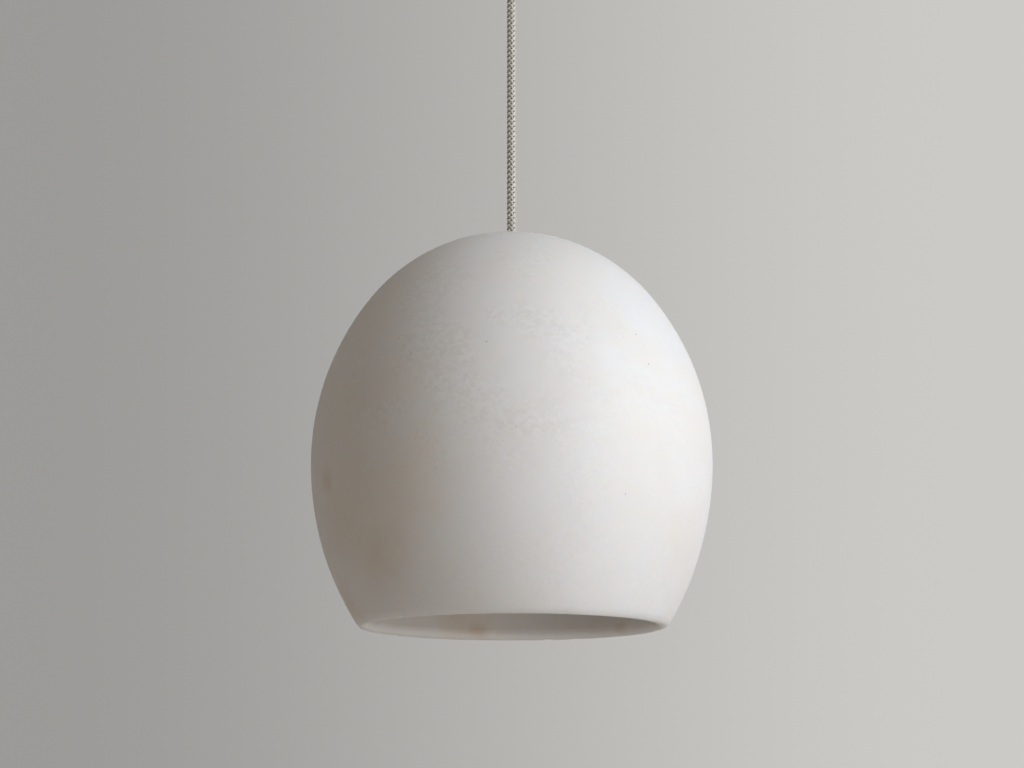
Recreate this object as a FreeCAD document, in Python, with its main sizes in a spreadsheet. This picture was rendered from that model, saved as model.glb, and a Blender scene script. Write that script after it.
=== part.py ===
import FreeCAD, Part
import math
import os
import re
import Sketcher

# Alabaster bowl pendant: a turned stone shade on a braided cord, below a ceiling canopy.
# Millimetres, +Z up. The origin is the centre of the ceiling plane, and everything hangs below it.
# In the outlines a height is given as its depth below the sub-part's own origin.

driving = {
    # stone shade
    "shade_radius": 140,
    "shade_height": 277,
    "widest_depth": 163,
    "rim_radius": 107,
    "shoulder_angle": 51,
    "shade_wall": 9,
    "crown_thickness": 16,
    "rim_round": 2.4,
    "rim_inner_round": 1.6,
    "hole_round": 0.8,
    "stone_hole_gap": 0.7,
    # cord
    "cord_radius": 3.3,
    "cord_drop": 185,
    "cord_clearance": 0.2,
    "core_radius": 1.1,
    "core_offset": 1.6,
    "core_rise": 6,
    "core_lead": 5,
    "core_grip": 2.5,
    "neck_shrink": 0.25,
    "neck_gap": 0.4,
    "neck_half": 3.6,
    "pivot_rise": 1.75,
    # canopy and its bracket
    "canopy_radius": 60,
    "canopy_height": 30,
    "canopy_wall": 1.2,
    "canopy_corner": 6,
    "bracket_width": 16,
    "bracket_thickness": 1.5,
    "bracket_bend": 2.5,
    "bracket_ear": 15,
    "ear_clearance": 0.8,
    "slot_spacing": 79,
    "slot_width": 4.5,
    "slot_length": 11,
    "side_screw_depth": 9,
    "side_screw_radius": 2,
    "side_screw_head": 3.5,
    "side_screw_head_height": 2.2,
    "side_screw_round": 1,
    "side_screw_length": 7,
    "hole_clearance": 0.2,
    "fit": 0.05,
    # cord collar under the canopy
    "stem_radius": 5,
    "stem_length": 8,
    "collar_radius": 8,
    "collar_length": 14,
    "collar_round": 1.5,
    "mouth_radius": 5.2,
    "mouth_depth": 5,
    "mouth_taper": 1.7,
    "grip_screw_radius": 2,
    "grip_screw_depth": 5,
    "nut_flats": 14,
    "nut_height": 3,
    "washer_radius": 9,
    "washer_thickness": 0.8,
    "jacket_top_depth": 18,
    # terminal block and earth screw
    "block_start": 9,
    "block_length": 17,
    "block_width": 22,
    "block_height": 12,
    "way_spacing": 10,
    "insert_radius": 2.4,
    "insert_bore": 1.5,
    "insert_inset": 1,
    "terminal_screw_radius": 1.4,
    "terminal_screw_inset": 4.5,
    "terminal_screw_recess": 1,
    "block_screw_radius": 1.5,
    "block_screw_head": 2.8,
    "block_screw_head_height": 1.8,
    "earth_screw_offset": 22,
    "earth_screw_radius": 2,
    "earth_screw_head": 3.5,
    "earth_screw_head_height": 2.4,
    "lug_radius": 4,
    "lug_thickness": 0.8,
    "lug_shoulder_angle": 37,
    "lug_neck_half": 1.6,
    "lug_barrel_start": 3.7,
    "lug_barrel_length": 6,
    "lug_barrel_wall": 0.5,
    "lug_barrel_overlap": 0.5,
    # what carries the stone
    "stone_above_bush": 6,
    "bush_length": 8,
    "bush_wall": 1,
    "nipple_recess": 1,
    "nipple_bore": 3.6,
    "seat_radius": 31,
    "seat_washer_thickness": 2,
    "washer_gap": 0.5,
    "disc_thickness": 3,
    "disc_nut_height": 4,
    # lampholder
    "cap_neck_radius": 7,
    "cap_neck_height": 6,
    "holder_radius": 20,
    "holder_wall": 1.5,
    "cap_height": 31,
    "clamp_gap": 0.5,
    "clamp_radius": 6.5,
    "clamp_height": 8,
    "clamp_screw_radius": 1.5,
    "jacket_stub": 2,
    "wire_room": 7,
    "skirt_height": 42,
    "skirt_tongue_wall": 1.4,
    "skirt_lip_radius": 15.2,
    "slab_thickness": 8,
    "shell_radius": 14,
    "shell_wall": 0.5,
    "shell_height": 28,
    "shell_flange_radius": 9.6,
    "post_start": 5.5,
    "post_length": 7,
    "post_width": 6,
    "post_height": 5,
    "post_bore": 1.3,
    "post_screw_position": 9.5,
    "post_screw_radius": 1.4,
    "post_screw_head": 2.2,
    "post_screw_head_height": 1.2,
    "line_rivet_position": 7,
    "neutral_rivet_position": 11.6,
    "rivet_radius": 1,
    "rivet_head_radius": 1.5,
    "rivet_head_height": 0.6,
    "tongue_width": 5,
    "tongue_thickness": 0.4,
    "tongue_tip": 2.5,
    "tongue_bend": 1,
    "strap_width": 5,
    "strap_thickness": 0.5,
    "strap_clearance": 0.3,
    # bulb
    "contact_gap": 0.3,
    "contact_depth": 6,
    "contact_radius": 4.5,
    "contact_height": 1.5,
    "insulator_height": 3.5,
    "insulator_radius": 12,
    "base_radius": 13,
    "base_wall": 0.5,
    "base_round": 1,
    "base_ring_width": 3,
    "base_height": 21,
    "bulb_radius": 40,
    "bulb_centre_depth": 78,
    "bulb_neck_radius": 12.4,
    "bulb_neck_blend": 14,
    "bulb_neck_overlap": 6,
    "bulb_wall": 1,
    "module_radius": 10.8,
    "module_post_radius": 7,
    "module_taper": 3,
    "module_height": 30,
}

doc = FreeCAD.newDocument("AlabasterBowlPendant")
sheet = doc.addObject("Spreadsheet::Sheet", "sizes")
for row, (alias, size) in enumerate(driving.items(), start=1):
    sheet.set(f"A{row}", alias)
    sheet.set(f"B{row}", str(size))
    sheet.setAlias(f"B{row}", alias)
doc.recompute()

nodes = []


def bound(text):
    """A formula on the driving sizes, as an expression on the sheet's cells."""
    return re.sub(r"[a-z]+(_[a-z]+)*", lambda word: cell(word.group()), str(text))


def cell(word):
    return "sizes." + word if word in driving else word


def number(text):
    return float(sheet.evalExpression(bound(text)))


def seat(node, x="0", depth="0", turn=0):
    """Place a sub-part: its offset along X, its depth below the ceiling and its turn about Z."""
    node.Placement = FreeCAD.Placement(
        FreeCAD.Vector(number(x), 0, -number(depth)), FreeCAD.Rotation(FreeCAD.Vector(0, 0, 1), turn)
    )
    node.setExpression("Placement.Base.x", bound(x))
    node.setExpression("Placement.Base.z", bound(f"-({depth})"))


def newBody(label, x="0", depth="0", turn=0):
    body = doc.addObject("PartDesign::Body", label)
    body.Label = label
    seat(body, x, depth, turn)
    nodes.append(body)
    return body


def newSketch(body, role, offset=None):
    """A sketch on one of the body's own origin planes, raised from it by an offset."""
    sketch = body.newObject("Sketcher::SketchObject", body.Label + "_sketch")
    plane = [part for part in body.Origin.OriginFeatures if part.Role == role][0]
    sketch.AttachmentSupport = [(plane, "")]
    sketch.MapMode = "FlatFace"
    if offset:
        sketch.setExpression("AttachmentOffset.Base.z", bound(offset))
    return sketch


def originAxis(body, role):
    return [part for part in body.Origin.OriginFeatures if part.Role == role][0]


def fix(sketch, edge, point, x, y):
    """Hold a vertex at its two distances from the sketch's origin."""
    fixAlong(sketch, "DistanceX", -2, edge, point, x)
    fixAlong(sketch, "DistanceY", -1, edge, point, y)


def fixAlong(sketch, kind, axis, edge, point, text):
    distance = number(text)
    if abs(distance) < 1e-7:
        sketch.addConstraint(Sketcher.Constraint("PointOnObject", edge, point, axis))
    elif distance > 0:
        index = sketch.addConstraint(Sketcher.Constraint(kind, -1, 1, edge, point, distance))
        sketch.setExpression(f"Constraints[{index}]", bound(text))
    else:
        index = sketch.addConstraint(Sketcher.Constraint(kind, edge, point, -1, 1, -distance))
        sketch.setExpression(f"Constraints[{index}]", bound(f"-({text})"))


def outline(sketch, vertices):
    """A closed outline. A vertex is (x, y), or (x, y, way, radius) where an arc leads to the next one."""
    places = [FreeCAD.Vector(number(vertex[0]), number(vertex[1]), 0) for vertex in vertices]
    ends = []
    for start, vertex in enumerate(vertices):
        near, far = places[start], places[(start + 1) % len(vertices)]
        if len(vertex) == 2:
            edge = sketch.addGeometry(Part.LineSegment(near, far))
            ends.append((edge, 1, 2))
            continue
        way, radius = vertex[2:]
        edge = sketch.addGeometry(minorArc(near, far, way, number(radius)))
        ends.append((edge, 2, 1) if way == "cw" else (edge, 1, 2))
    for start, (edge, near, far) in enumerate(ends):
        following = (start + 1) % len(ends)
        sketch.addConstraint(Sketcher.Constraint("Coincident", edge, far, *ends[following][:2]))
        fix(sketch, edge, near, *vertices[start][:2])
        if len(vertices[start]) == 2:
            continue
        if vertices[start][0] == vertices[following][0]:
            # a half circle: its radius follows from its ends, so its centre is held instead
            fixAlong(sketch, "DistanceX", -2, edge, 3, vertices[start][0])
        else:
            holdRadius(sketch, edge, vertices[start][3])


def holdRadius(sketch, edge, radius):
    index = sketch.addConstraint(Sketcher.Constraint("Radius", edge, number(radius)))
    sketch.setExpression(f"Constraints[{index}]", bound(radius))


def minorArc(near, far, way, radius):
    """The shorter arc between two points, clockwise or counter-clockwise."""
    if way == "cw":
        near, far = far, near
    chord = far - near
    rise = math.sqrt(max(radius ** 2 - chord.Length ** 2 / 4, 0))
    centre = (near + far) / 2 + FreeCAD.Vector(-chord.y, chord.x, 0).normalize() * rise
    start = math.atan2(near.y - centre.y, near.x - centre.x)
    end = math.atan2(far.y - centre.y, far.x - centre.x)
    if end < start:
        end += 2 * math.pi
    return Part.ArcOfCircle(Part.Circle(centre, FreeCAD.Vector(0, 0, 1), radius), start, end)


def circles(sketch, discs):
    """Circles given as (x, y, radius)."""
    for x, y, radius in discs:
        centre = FreeCAD.Vector(number(x), number(y), 0)
        edge = sketch.addGeometry(Part.Circle(centre, FreeCAD.Vector(0, 0, 1), number(radius)))
        fix(sketch, edge, 3, x, y)
        holdRadius(sketch, edge, radius)


def downward(vertices):
    """The same outline with its depths turned into heights."""
    return [(vertex[0], f"-({vertex[1]})", *vertex[2:]) for vertex in vertices]


def rectangle(left, right, top, bottom):
    return [(left, top), (right, top), (right, bottom), (left, bottom)]


def turned(body, vertices, axis="V_Axis"):
    """Turn an outline of (radius, depth) about the body's own axis."""
    sketch = newSketch(body, "XZ_Plane")
    outline(sketch, downward(vertices))
    feature = body.newObject("PartDesign::Revolution", body.Label + "_turned")
    feature.Profile = sketch
    feature.ReferenceAxis = (sketch, [axis])
    feature.Angle = 360
    return feature


def padded(body, sketch, length, symmetric=False):
    feature = body.newObject("PartDesign::Pad", body.Label + "_pad")
    feature.Profile = sketch
    feature.SideType = "Symmetric" if symmetric else "One side"
    feature.Length = number(length)
    feature.setExpression("Length", bound(length))
    return feature


def cutThrough(body, sketch):
    """Cut a sketch through the whole body, on both sides of its plane."""
    feature = body.newObject("PartDesign::Pocket", body.Label + "_cut")
    feature.Profile = sketch
    feature.SideType = "Symmetric"
    feature.Type = "ThroughAll"
    return feature


def cutUpward(body, sketch, length):
    """Cut a sketch from its plane upwards."""
    feature = body.newObject("PartDesign::Pocket", body.Label + "_well")
    feature.Profile = sketch
    feature.Reversed = True
    feature.Length = number(length)
    feature.setExpression("Length", bound(length))
    return feature


def repeatedRound(body, features, count, sweep=360):
    """Repeat features evenly about the body's Z axis."""
    pattern = body.newObject("PartDesign::PolarPattern", body.Label + "_pattern")
    pattern.Originals = features
    pattern.Axis = (originAxis(body, "Z_Axis"), [""])
    pattern.Angle = sweep
    pattern.Occurrences = count
    body.Tip = pattern


def rounded(body, radius, isWanted):
    """Round the circular edges of the body's tip that a test on (radius, height) picks."""
    doc.recompute()
    tip = body.Tip
    wanted = []
    for index, edge in enumerate(tip.Shape.Edges, start=1):
        curve = edge.Curve
        if isinstance(curve, Part.Circle) and isWanted(curve.Radius, curve.Center.z):
            wanted.append(f"Edge{index}")
    if not wanted:
        raise ValueError(f"{body.Label}: no edge to round")
    fillet = body.newObject("PartDesign::Fillet", body.Label + "_round")
    fillet.Base = (tip, wanted)
    fillet.Radius = number(radius)
    fillet.setExpression("Radius", bound(radius))
    return fillet


def isNear(value, text):
    return abs(value - number(text)) < 1e-4


# Depths below the ceiling, worked down from piece to piece
wayDepth = "bracket_thickness + block_height / 2"
stemTop = "canopy_height - stem_length"
washerTop = "canopy_height - canopy_wall - washer_thickness"
collarLip = "canopy_height + collar_length"
pivot = f"{collarLip} - pivot_rise"
neckReach = "neck_half + neck_gap"
apex = f"{collarLip} + cord_drop"

# Depths below the stone's apex
seatTop = "crown_thickness"
discTop = f"{seatTop} + seat_washer_thickness"
discNutTop = f"{discTop} + disc_thickness"
capTop = f"{discNutTop} + disc_nut_height"
nippleTop = "stone_above_bush + nipple_recess"
clampTop = f"{capTop} + cap_neck_height + holder_wall + clamp_gap"
jacketEnd = f"{clampTop} + clamp_height + jacket_stub"
slabTop = f"{jacketEnd} + wire_room"
slabFace = f"{slabTop} + slab_thickness"
contactTop = f"{slabFace} + contact_depth"

# Shared radii
cordBore = "cord_radius + cord_clearance"
neckRadius = "cord_radius - neck_shrink"
threadRadius = "stem_radius + fit"
canopyInside = "canopy_radius - canopy_wall"
earFace = f"{canopyInside} - ear_clearance"
stoneHole = "cord_radius + stone_hole_gap"
bushRadius = "stem_radius + fit + bush_wall"
bushBore = f"{bushRadius} + fit"
holderInside = "holder_radius - holder_wall"
tongueInside = f"{holderInside} - fit * 2 - skirt_tongue_wall"
insertRadius = f"{tongueInside} - hole_clearance"
shellInside = "shell_radius - shell_wall"


def buildBracket():
    """A steel strip across the canopy with two bent ears, two fixing slots and two tapped holes."""
    body = newBody("mounting_bracket")
    inner = "bracket_bend - bracket_thickness"
    strip = [
        (f"-({earFace})", "bracket_ear"),
        (f"-({earFace})", "bracket_bend", "cw", "bracket_bend"),
        (f"-({earFace}) + bracket_bend", "0"),
        (f"{earFace} - bracket_bend", "0", "cw", "bracket_bend"),
        (earFace, "bracket_bend"),
        (earFace, "bracket_ear"),
        (f"{earFace} - bracket_thickness", "bracket_ear"),
        (f"{earFace} - bracket_thickness", "bracket_bend", "ccw", inner),
        (f"{earFace} - bracket_bend", "bracket_thickness"),
        (f"-({earFace}) + bracket_bend", "bracket_thickness", "ccw", inner),
        (f"-({earFace}) + bracket_thickness", "bracket_bend"),
        (f"-({earFace}) + bracket_thickness", "bracket_ear"),
    ]
    sketch = newSketch(body, "XZ_Plane")
    outline(sketch, downward(strip))
    padded(body, sketch, "bracket_width", symmetric=True)
    land = newSketch(body, "XY_Plane")
    for side in ("-", ""):
        middle = f"{side}slot_spacing / 2"
        reach = "(slot_length - slot_width) / 2"
        half = "slot_width / 2"
        outline(land, [
            (f"{middle} - {reach}", f"-{half}"),
            (f"{middle} + {reach}", f"-{half}", "ccw", half),
            (f"{middle} + {reach}", half),
            (f"{middle} - {reach}", half, "ccw", half),
        ])
    circles(land, [
        ("-earth_screw_offset", "0", "earth_screw_radius"),
        ("block_start + block_length / 2", "0", "block_screw_radius + fit"),
    ])
    cutThrough(body, land)
    ears = newSketch(body, "YZ_Plane")
    circles(ears, [("0", "-side_screw_depth", "side_screw_radius + fit")])
    cutThrough(body, ears)


def buildCanopy():
    """A spun steel cup with a rounded lower edge, a stem hole and two side holes."""
    body = newBody("canopy")
    inner = "canopy_corner - canopy_wall"
    turned(body, [
        ("canopy_radius", "0"),
        ("canopy_radius", "canopy_height - canopy_corner", "cw", "canopy_corner"),
        ("canopy_radius - canopy_corner", "canopy_height"),
        (threadRadius, "canopy_height"),
        (threadRadius, "canopy_height - canopy_wall"),
        ("canopy_radius - canopy_corner", "canopy_height - canopy_wall", "ccw", inner),
        (canopyInside, "canopy_height - canopy_corner"),
        (canopyInside, "0"),
    ])
    sides = newSketch(body, "YZ_Plane")
    circles(sides, [("0", "-side_screw_depth", "side_screw_radius + hole_clearance")])
    cutThrough(body, sides)


def buildSideScrews():
    """Two round-headed screws through the canopy's wall into the bracket's ears."""
    body = newBody("side_screws", depth="side_screw_depth")
    head = "canopy_radius + side_screw_head_height"
    screw = turned(body, downward([
        ("canopy_radius - side_screw_length", "0"),
        ("canopy_radius - side_screw_length", "side_screw_radius"),
        ("canopy_radius", "side_screw_radius"),
        ("canopy_radius", "side_screw_head"),
        (f"{head} - side_screw_round", "side_screw_head", "cw", "side_screw_round"),
        (head, "side_screw_head - side_screw_round"),
        (head, "0"),
    ]), axis="H_Axis")
    repeatedRound(body, [screw], 2)


def buildTerminalBlock():
    """A two-way connector block under the bracket, with bores, screw wells and a fixing hole."""
    body = newBody("terminal_block", x="block_start", depth="bracket_thickness")
    sketch = newSketch(body, "XZ_Plane")
    outline(sketch, downward(rectangle("0", "block_length", "0", "block_height")))
    padded(body, sketch, "block_width", symmetric=True)
    bores = newSketch(body, "YZ_Plane")
    ways = [(f"{side}way_spacing / 2", "-block_height / 2", "insert_radius + fit") for side in ("-", "")]
    circles(bores, ways)
    cutThrough(body, bores)
    wells = newSketch(body, "XY_Plane", offset="-block_height")
    circles(wells, [(x, y, "terminal_screw_radius + hole_clearance") for x, y in screwPlaces("0")])
    cutUpward(body, wells, "block_height / 2")
    fixing = newSketch(body, "XY_Plane")
    circles(fixing, [("block_length / 2", "0", "block_screw_radius + hole_clearance")])
    cutThrough(body, fixing)


def screwPlaces(start):
    """The four terminal screws' places, from the block's end."""
    columns = (f"{start} + terminal_screw_inset", f"{start} + block_length - terminal_screw_inset")
    return [(x, f"{side}way_spacing / 2") for x in columns for side in ("-", "")]


def buildTerminalInserts():
    """Two brass sleeves in the block, each open below to its two screws."""
    body = newBody("terminal_inserts", x="block_start", depth=wayDepth)
    sketch = newSketch(body, "YZ_Plane", offset="insert_inset")
    for side in ("-", ""):
        circles(sketch, [
            (f"{side}way_spacing / 2", "0", "insert_radius"),
            (f"{side}way_spacing / 2", "0", "insert_bore"),
        ])
    padded(body, sketch, "block_length - 2 * insert_inset")
    taps = newSketch(body, "XY_Plane", offset="-insert_radius")
    circles(taps, [(x, y, "terminal_screw_radius + fit") for x, y in screwPlaces("0")])
    cutUpward(body, taps, "insert_radius")


def buildTerminalScrews():
    """Four screws that press the cores from below."""
    body = newBody("terminal_screws", x="block_start", depth=f"{wayDepth} + block_height / 2")
    sketch = newSketch(body, "XY_Plane", offset="terminal_screw_recess")
    circles(sketch, [(x, y, "terminal_screw_radius") for x, y in screwPlaces("0")])
    padded(body, sketch, "block_height / 2 - terminal_screw_recess - core_radius - fit")


def buildBlockScrew():
    """The screw that holds the block to the bracket."""
    body = newBody("block_screw", x="block_start + block_length / 2", depth="fit")
    length = "bracket_thickness + block_height - fit"
    turned(body, [
        ("0", "0"),
        ("block_screw_radius", "0"),
        ("block_screw_radius", length),
        ("block_screw_head", length),
        ("block_screw_head", f"{length} + block_screw_head_height"),
        ("0", f"{length} + block_screw_head_height"),
    ])


def buildEarthLug():
    """A ring terminal with its barrel, flat under the bracket."""
    body = newBody("earth_lug", x="-earth_screw_offset", depth="bracket_thickness")
    plate = newSketch(body, "XY_Plane", offset="-lug_thickness")
    shoulder = ("lug_radius * cos(lug_shoulder_angle)", "lug_radius * sin(lug_shoulder_angle)")
    outline(plate, [
        (shoulder[0], f"-{shoulder[1]}"),
        ("lug_barrel_start + lug_barrel_overlap", "-lug_neck_half"),
        ("lug_barrel_start + lug_barrel_overlap", "lug_neck_half"),
        (*shoulder, "ccw", "lug_radius"),
        ("-lug_radius", "0", "ccw", "lug_radius"),
    ])
    circles(plate, [("0", "0", "earth_screw_radius + hole_clearance")])
    padded(body, plate, "lug_thickness")
    barrel = newSketch(body, "YZ_Plane", offset="lug_barrel_start")
    outer = "core_radius + fit + lug_barrel_wall"
    circles(barrel, [("0", f"-({outer})", outer), ("0", f"-({outer})", "core_radius + fit")])
    padded(body, barrel, "lug_barrel_length")


def buildEarthScrew():
    """The screw that clamps the lug to the bracket."""
    body = newBody("earth_screw", x="-earth_screw_offset", depth="fit")
    length = "bracket_thickness + lug_thickness - fit"
    turned(body, [
        ("0", "0"),
        ("earth_screw_radius - fit", "0"),
        ("earth_screw_radius - fit", length),
        ("earth_screw_head", length),
        ("earth_screw_head", f"{length} + earth_screw_head_height"),
        ("0", f"{length} + earth_screw_head_height"),
    ])


def buildCollar():
    """The turned cord collar: a threaded stem through the canopy and a belled mouth for the cord."""
    body = newBody("cord_collar", depth=stemTop)
    lip = "stem_length + collar_length"
    turned(body, [
        (cordBore, "0"),
        ("stem_radius", "0"),
        ("stem_radius", "stem_length"),
        ("collar_radius", "stem_length"),
        ("collar_radius", f"{lip} - collar_round", "cw", "collar_round"),
        ("collar_radius - collar_round", lip),
        ("mouth_radius", lip),
        ("mouth_radius - mouth_taper / 2", f"{lip} - mouth_depth / 2"),
        (cordBore, f"{lip} - mouth_depth"),
    ])
    side = newSketch(body, "YZ_Plane")
    circles(side, [("0", "-(stem_length + grip_screw_depth)", "grip_screw_radius + fit")])
    hole = body.newObject("PartDesign::Pocket", "cord_collar_tapping")
    hole.Profile = side
    hole.Reversed = True
    hole.Length = number("collar_radius * 2")
    hole.setExpression("Length", bound("collar_radius * 2"))


def buildGripScrew():
    """The grub screw that holds the cord in the collar."""
    body = newBody("grip_screw", depth="canopy_height + grip_screw_depth")
    sketch = newSketch(body, "YZ_Plane", offset="cord_radius + fit")
    circles(sketch, [("0", "0", "grip_screw_radius")])
    padded(body, sketch, "collar_radius - cord_radius - 4 * fit")


def buildLockWasher():
    body = newBody("lock_washer", depth=washerTop)
    turned(body, rectangle(threadRadius, "washer_radius", "0", "washer_thickness"))


def hexagonalNut(label, depth, height):
    """A nut on the M10 thread, set by its width across the flats."""
    body = newBody(label, depth=depth)
    sketch = newSketch(body, "XY_Plane", offset=f"-({height})")
    half = "nut_flats / 2"
    corner = "nut_flats / sqrt(3)"
    outline(sketch, [
        (corner, "0"),
        (f"{corner} / 2", half),
        (f"-{corner} / 2", half),
        (f"-{corner}", "0"),
        (f"-{corner} / 2", f"-{half}"),
        (f"{corner} / 2", f"-{half}"),
    ])
    circles(sketch, [("0", "0", threadRadius)])
    padded(body, sketch, height)


def buildNeck():
    """The short bend of the cord in the collar's mouth, about which the pendant swings."""
    body = newBody("cord_neck", depth=pivot)
    end = f"sqrt(neck_half ^ 2 - ({neckRadius}) ^ 2)"
    turned(body, [
        ("0", "-neck_half", "cw", "neck_half"),
        (neckRadius, f"-{end}"),
        (neckRadius, end, "cw", "neck_half"),
        ("0", "neck_half"),
    ])


def straightCord(label, top, length):
    body = newBody(label, depth=top)
    turned(body, rectangle("0", "cord_radius", "0", length))


def buildShade():
    """The stone shade, turned from one block: three arcs outside, the wall's offset inside,
    a flat seat under the crown, and a cord hole counterbored for the centring bush."""
    body = newBody("shade", depth=apex)
    blend = "(cos(shoulder_angle) + sin(shoulder_angle) - 1)"
    crownArc = f"(shade_radius * cos(shoulder_angle) - widest_depth * (1 - sin(shoulder_angle))) / {blend}"
    shoulderArc = f"(widest_depth * sin(shoulder_angle) - shade_radius * (1 - cos(shoulder_angle))) / {blend}"
    taper = "(shade_radius - rim_radius)"
    skirtDrop = "(shade_height - widest_depth)"
    sideArc = f"({taper} ^ 2 + {skirtDrop} ^ 2) / (2 * {taper})"
    innerCrown = f"{crownArc} - shade_wall"
    innerShoulder = f"{shoulderArc} - shade_wall"
    innerSide = f"{sideArc} - shade_wall"
    rimInside = f"shade_radius - {sideArc} + sqrt(({innerSide}) ^ 2 - {skirtDrop} ^ 2)"
    shoulderX = f"shade_radius - ({shoulderArc}) + ({innerShoulder}) * sin(shoulder_angle)"
    shoulderDepth = f"widest_depth - ({innerShoulder}) * cos(shoulder_angle)"
    seatRadius = f"sqrt(({innerCrown}) ^ 2 - ({crownArc} - crown_thickness) ^ 2)"
    turned(body, [
        (stoneHole, f"{crownArc} - sqrt(({crownArc}) ^ 2 - ({stoneHole}) ^ 2)", "cw", crownArc),
        (f"{crownArc} * sin(shoulder_angle)", f"{crownArc} * (1 - cos(shoulder_angle))", "cw", shoulderArc),
        ("shade_radius", "widest_depth", "cw", sideArc),
        ("rim_radius", "shade_height"),
        (rimInside, "shade_height", "ccw", innerSide),
        ("shade_radius - shade_wall", "widest_depth", "ccw", innerShoulder),
        (shoulderX, shoulderDepth, "ccw", innerCrown),
        (seatRadius, "crown_thickness"),
        (bushBore, "crown_thickness"),
        (bushBore, "stone_above_bush"),
        (stoneHole, "stone_above_bush"),
    ])
    rounded(body, "rim_round", lambda radius, height: isNear(radius, "rim_radius"))
    rounded(body, "rim_inner_round", lambda radius, height: isNear(radius, rimInside))
    rounded(body, "hole_round", lambda radius, height: isNear(radius, stoneHole) and height > -1)


def pendantRing(label, top, inner, outer, thickness):
    body = newBody(label, depth=f"{apex} + {top}")
    turned(body, rectangle(inner, outer, "0", thickness))


def buildHolderCap():
    """The lampholder's domed cap, screwed to the threaded tube by its neck."""
    body = newBody("holder_cap", depth=f"{apex} + {capTop}")
    dome = "(holder_radius - cap_neck_radius)"
    turned(body, [
        (threadRadius, "0"),
        ("cap_neck_radius", "0"),
        ("cap_neck_radius", "cap_neck_height", "cw", dome),
        ("holder_radius", f"cap_neck_height + {dome}"),
        ("holder_radius", "cap_height"),
        (holderInside, "cap_height"),
        (holderInside, f"cap_neck_height + {dome}", "ccw", f"{dome} - holder_wall"),
        ("cap_neck_radius", "cap_neck_height + holder_wall"),
        (threadRadius, "cap_neck_height + holder_wall"),
    ])


def buildCordClamp():
    """The brass ring that grips the cord under the threaded tube and carries the weight."""
    body = newBody("cord_clamp", depth=f"{apex} + {clampTop}")
    turned(body, rectangle("cord_radius + fit", "clamp_radius", "0", "clamp_height"))
    sides = newSketch(body, "YZ_Plane")
    circles(sides, [("0", "-clamp_height / 2", "clamp_screw_radius + fit")])
    cutThrough(body, sides)


def buildClampScrews():
    """Two grub screws that press the cord from both sides."""
    body = newBody("clamp_screws", depth=f"{apex} + {clampTop} + clamp_height / 2")
    screw = turned(body, rectangle("cord_radius + 2 * fit", "clamp_radius - fit", "0", "-clamp_screw_radius"),
                   axis="H_Axis")
    repeatedRound(body, [screw], 2)


def buildHolderInsert():
    """The porcelain body of the lampholder: a slab with two rivet holes over a socket for the shell."""
    body = newBody("holder_insert", depth=f"{apex} + {slabTop}")
    height = "skirt_height - holder_wall - fit"
    turned(body, [
        ("0", "0"),
        (insertRadius, "0"),
        (insertRadius, height),
        ("shell_radius + hole_clearance", height),
        ("shell_radius + hole_clearance", "slab_thickness"),
        ("0", "slab_thickness"),
    ])
    holes = newSketch(body, "XY_Plane")
    circles(holes, [
        ("-line_rivet_position", "0", "rivet_radius + fit"),
        ("neutral_rivet_position", "0", "rivet_radius + fit"),
    ])
    cutThrough(body, holes)


def buildHolderSkirt():
    """The lower sleeve: a threaded tongue inside the cap and a lip that keeps the porcelain in."""
    body = newBody("holder_skirt", depth=f"{apex} + {slabTop}")
    capEnd = f"{capTop} + cap_height - ({slabTop})"
    turned(body, [
        (tongueInside, "0"),
        (f"{holderInside} - fit * 2", "0"),
        (f"{holderInside} - fit * 2", capEnd),
        ("holder_radius", capEnd),
        ("holder_radius", "skirt_height"),
        ("skirt_lip_radius", "skirt_height"),
        ("skirt_lip_radius", "skirt_height - holder_wall"),
        (holderInside, "skirt_height - holder_wall"),
        (holderInside, f"{capEnd} + holder_wall"),
        (tongueInside, f"{capEnd} + holder_wall"),
    ])


def buildScrewShell():
    """The brass shell that takes the bulb's thread, riveted to the slab by its flange."""
    body = newBody("screw_shell", depth=f"{apex} + {slabFace}")
    turned(body, [
        ("shell_flange_radius", "0"),
        ("shell_radius", "0"),
        ("shell_radius", "shell_height"),
        (shellInside, "shell_height"),
        (shellInside, "shell_wall"),
        ("shell_flange_radius", "shell_wall"),
    ])
    hole = newSketch(body, "XY_Plane")
    circles(hole, [("neutral_rivet_position", "0", "rivet_radius + fit")])
    cutThrough(body, hole)


def buildCentreContact():
    """The sprung bronze tongue over the bulb's contact."""
    body = newBody("centre_contact", depth=f"{apex} + {slabFace}")
    root = "line_rivet_position + rivet_head_radius"
    drop = "contact_depth - contact_gap"
    bend = "-line_rivet_position + rivet_head_radius + tongue_bend"
    sketch = newSketch(body, "XZ_Plane")
    outline(sketch, downward([
        (f"-({root})", "0"),
        (f"{bend} + tongue_thickness / 2", "0"),
        ("-tongue_bend + tongue_thickness / 2", f"{drop} - tongue_thickness"),
        ("tongue_tip", f"{drop} - tongue_thickness"),
        ("tongue_tip", drop),
        ("-tongue_bend", drop),
        (bend, "tongue_thickness"),
        (f"-({root})", "tongue_thickness"),
    ]))
    padded(body, sketch, "tongue_width", symmetric=True)
    hole = newSketch(body, "XY_Plane")
    circles(hole, [("-line_rivet_position", "0", "rivet_radius + fit")])
    cutThrough(body, hole)


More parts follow.
